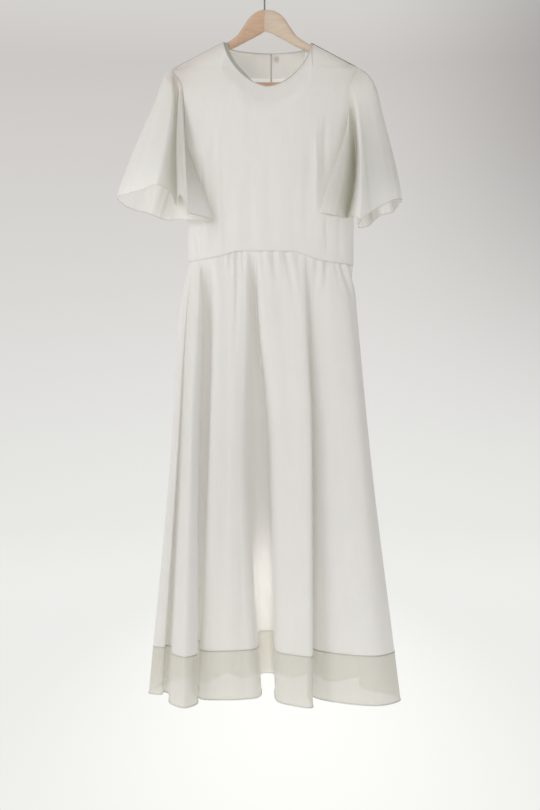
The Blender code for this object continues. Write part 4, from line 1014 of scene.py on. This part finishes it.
def bowl_profile():
    """Radius and height from the middle of the floor to the top of the dome."""
    points = [(r, FLOOR_Z) for r in np.linspace(CENTRE_RADIUS, FLOOR_RADIUS, FLOOR_STEPS)]
    for k in range(1, RIM_STEPS):
        angle = math.pi / 2 * k / RIM_STEPS
        points.append((FLOOR_RADIUS + RIM_RADIUS * math.sin(angle),
                       FLOOR_Z + RIM_RADIUS * (1 - math.cos(angle))))
    points += [(BOWL_RADIUS, z) for z in np.linspace(WALL_BOTTOM_Z, WALL_TOP_Z, WALL_STEPS)]
    for k in range(1, DOME_STEPS + 1):
        angle = math.pi / 2 * k / DOME_STEPS
        points.append((max(BOWL_RADIUS * math.cos(angle), CENTRE_RADIUS),
                       WALL_TOP_Z + DOME_HEIGHT * math.sin(angle)))
    return np.array(points)


profile = bowl_profile()
radius, height = profile[:, :1], profile[:, 1:]
turns = 2 * np.pi * np.arange(BOWL_COLUMNS) / BOWL_COLUMNS
bowl_grid = np.stack([radius * np.cos(turns), radius * np.sin(turns), height + 0 * turns], axis=-1)
bowl = mesh_from_grid("studio_bowl", bowl_grid, closed=True)

# Paper of the bowl, which glows: pale paper with painted light, bright low down behind the dress,
# greyer above, dimmer to the right and in front
PAPER_TOP_Z = 2.3
PAPER_TONE_AND_LIGHT = (
    (0.0, (0.845, 0.848, 0.822)), (0.05, (0.80, 0.80, 0.775)), (0.233, (0.745, 0.739, 0.722)),
    (0.42, (0.70, 0.69, 0.67)), (0.60, (0.665, 0.650, 0.630)), (0.85, (0.605, 0.580, 0.560)),
    (0.95, (0.655, 0.640, 0.615)),
)

# Painted pools of light on the paper: centre, reach, strength
POOLS = (((0.06, 1.3, FLOOR_Z), (0.95, 3.6, 1.2), 0.19), ((0.0, 6.5, -1.2), (2.6, 5.0, 2.4), 0.04))
paint, tree = new_material("seamless_paper_painted_light")
tree.nodes.clear()
position = node(tree, "ShaderNodeNewGeometry").outputs["Position"]
apart = node(tree, "ShaderNodeSeparateXYZ", {0: position})
place_x, place_y, place_z = [apart.outputs[axis] for axis in "XYZ"]
inputs = {"Value": place_z, "From Min": FLOOR_Z, "From Max": PAPER_TOP_Z}
height_share = node(tree, "ShaderNodeMapRange", inputs).outputs["Result"]
paper_tone_and_light = colour_ramp(tree, height_share, PAPER_TONE_AND_LIGHT)


def eased(value, low, high, at_low, at_high):
    """at_low up to low, easing to at_high from high on."""
    inputs = {"Value": value, "From Min": low, "From Max": high, "To Min": at_low, "To Max": at_high}
    made = node(tree, "ShaderNodeMapRange", inputs, interpolation_type="SMOOTHSTEP")
    return made.outputs["Result"]


def calculated(operation, a, b):
    return node(tree, "ShaderNodeMath", {0: a, 1: b}, operation=operation).outputs[0]


def pool(centre, reach, strength):
    """Soft painted pool of light on the paper: strength at its centre, nothing beyond its reach."""
    inputs = {"Vector": position, "Location": centre, "Scale": reach}
    move = node(tree, "ShaderNodeMapping", inputs, vector_type="TEXTURE")
    inputs = {"Vector": move.outputs["Vector"]}
    ball = node(tree, "ShaderNodeTexGradient", inputs, gradient_type="SPHERICAL")
    return eased(ball.outputs["Fac"], 0.0, 1.0, 0.0, strength)


upper = eased(place_z, -1.5, 1.5, 1.0, 0.42)
lower = eased(place_z, -1.2, 0.4, 0.5, 1.0)
behind = eased(place_y, -1.0, 2.0, 0.0, 1.0)
dimmed = [
    eased(calculated("MULTIPLY", place_x, behind), 0.5, 3.4, 1.0, upper),
    eased(place_x, 3.0, 4.6, 1.0, lower),
    eased(place_x, 1.8, 4.5, 1.0, 0.74),
    eased(calculated("MULTIPLY", place_y, -1.0), 0.5, 6.0, 1.0, 0.88),
]
strength = dimmed[0]
for share in dimmed[1:]:
    strength = calculated("MULTIPLY", strength, share)
for row in POOLS:
    strength = calculated("ADD", strength, pool(*row))
glow = node(tree, "ShaderNodeEmission", {"Color": paper_tone_and_light, "Strength": strength})
node(tree, "ShaderNodeOutputMaterial", {"Surface": glow.outputs[0]})
bowl.data.materials.append(paint)

# Lights: piece, place, what it looks at, width and height, watts, colour
AREA_LIGHTS = (
    ("key_left", (-2.35, -3.05, 0.9), (0, 0, -0.45), (1.6, 2.0), 53, (1.0, 0.994, 0.99)),
    ("back_soft", (-0.3, 2.4, -1.0), (0, 0, -0.85), (1.8, 1.8), 26, (1.0, 0.98, 0.94)),
    ("under_hem", (0.02, 0.02, -1.76), (0.02, 0.02, -1.0), (0.5, 0.35), 0.5, (1.0, 0.98, 0.93)),
    ("fold_glow", (0.008, 0.0, -1.35), (0.008, 0.2, -1.35), (0.008, 0.34), 0.12, (1.0, 0.98, 0.94)),
)
LEVEL_AHEAD = (math.pi / 2, 0, 0)
for name, place, target, size, power, colour in AREA_LIGHTS:
    light = bpy.data.lights.new(name, "AREA")
    light.shape = "RECTANGLE"
    light.size, light.size_y = size
    light.energy = power
    light.color = colour
    away = np.array(place) - np.array(target)
    tilt = math.acos(away[2] / np.linalg.norm(away))
    thing = add_object(name, light, place, (tilt, 0, math.atan2(away[1], away[0]) + math.pi / 2))
    thing.visible_camera = False
low_front = bpy.data.lights.new("low_front", "SPOT")
low_front.energy = 6.0
low_front.spot_size = math.radians(9)
low_front.spot_blend = 1.0
low_front.shadow_soft_size = 0.15
add_object("low_front", low_front, (0.0, -3.0, -1.22), LEVEL_AHEAD)

camera = bpy.data.cameras.new("camera")
camera.lens = 57.78
camera.sensor_width = 36.0
camera.clip_end = 60
bpy.context.scene.camera = add_object("camera", camera, (0.011, -2.6, -0.868), LEVEL_AHEAD)
bpy.context.scene.view_settings.view_transform = "Standard"
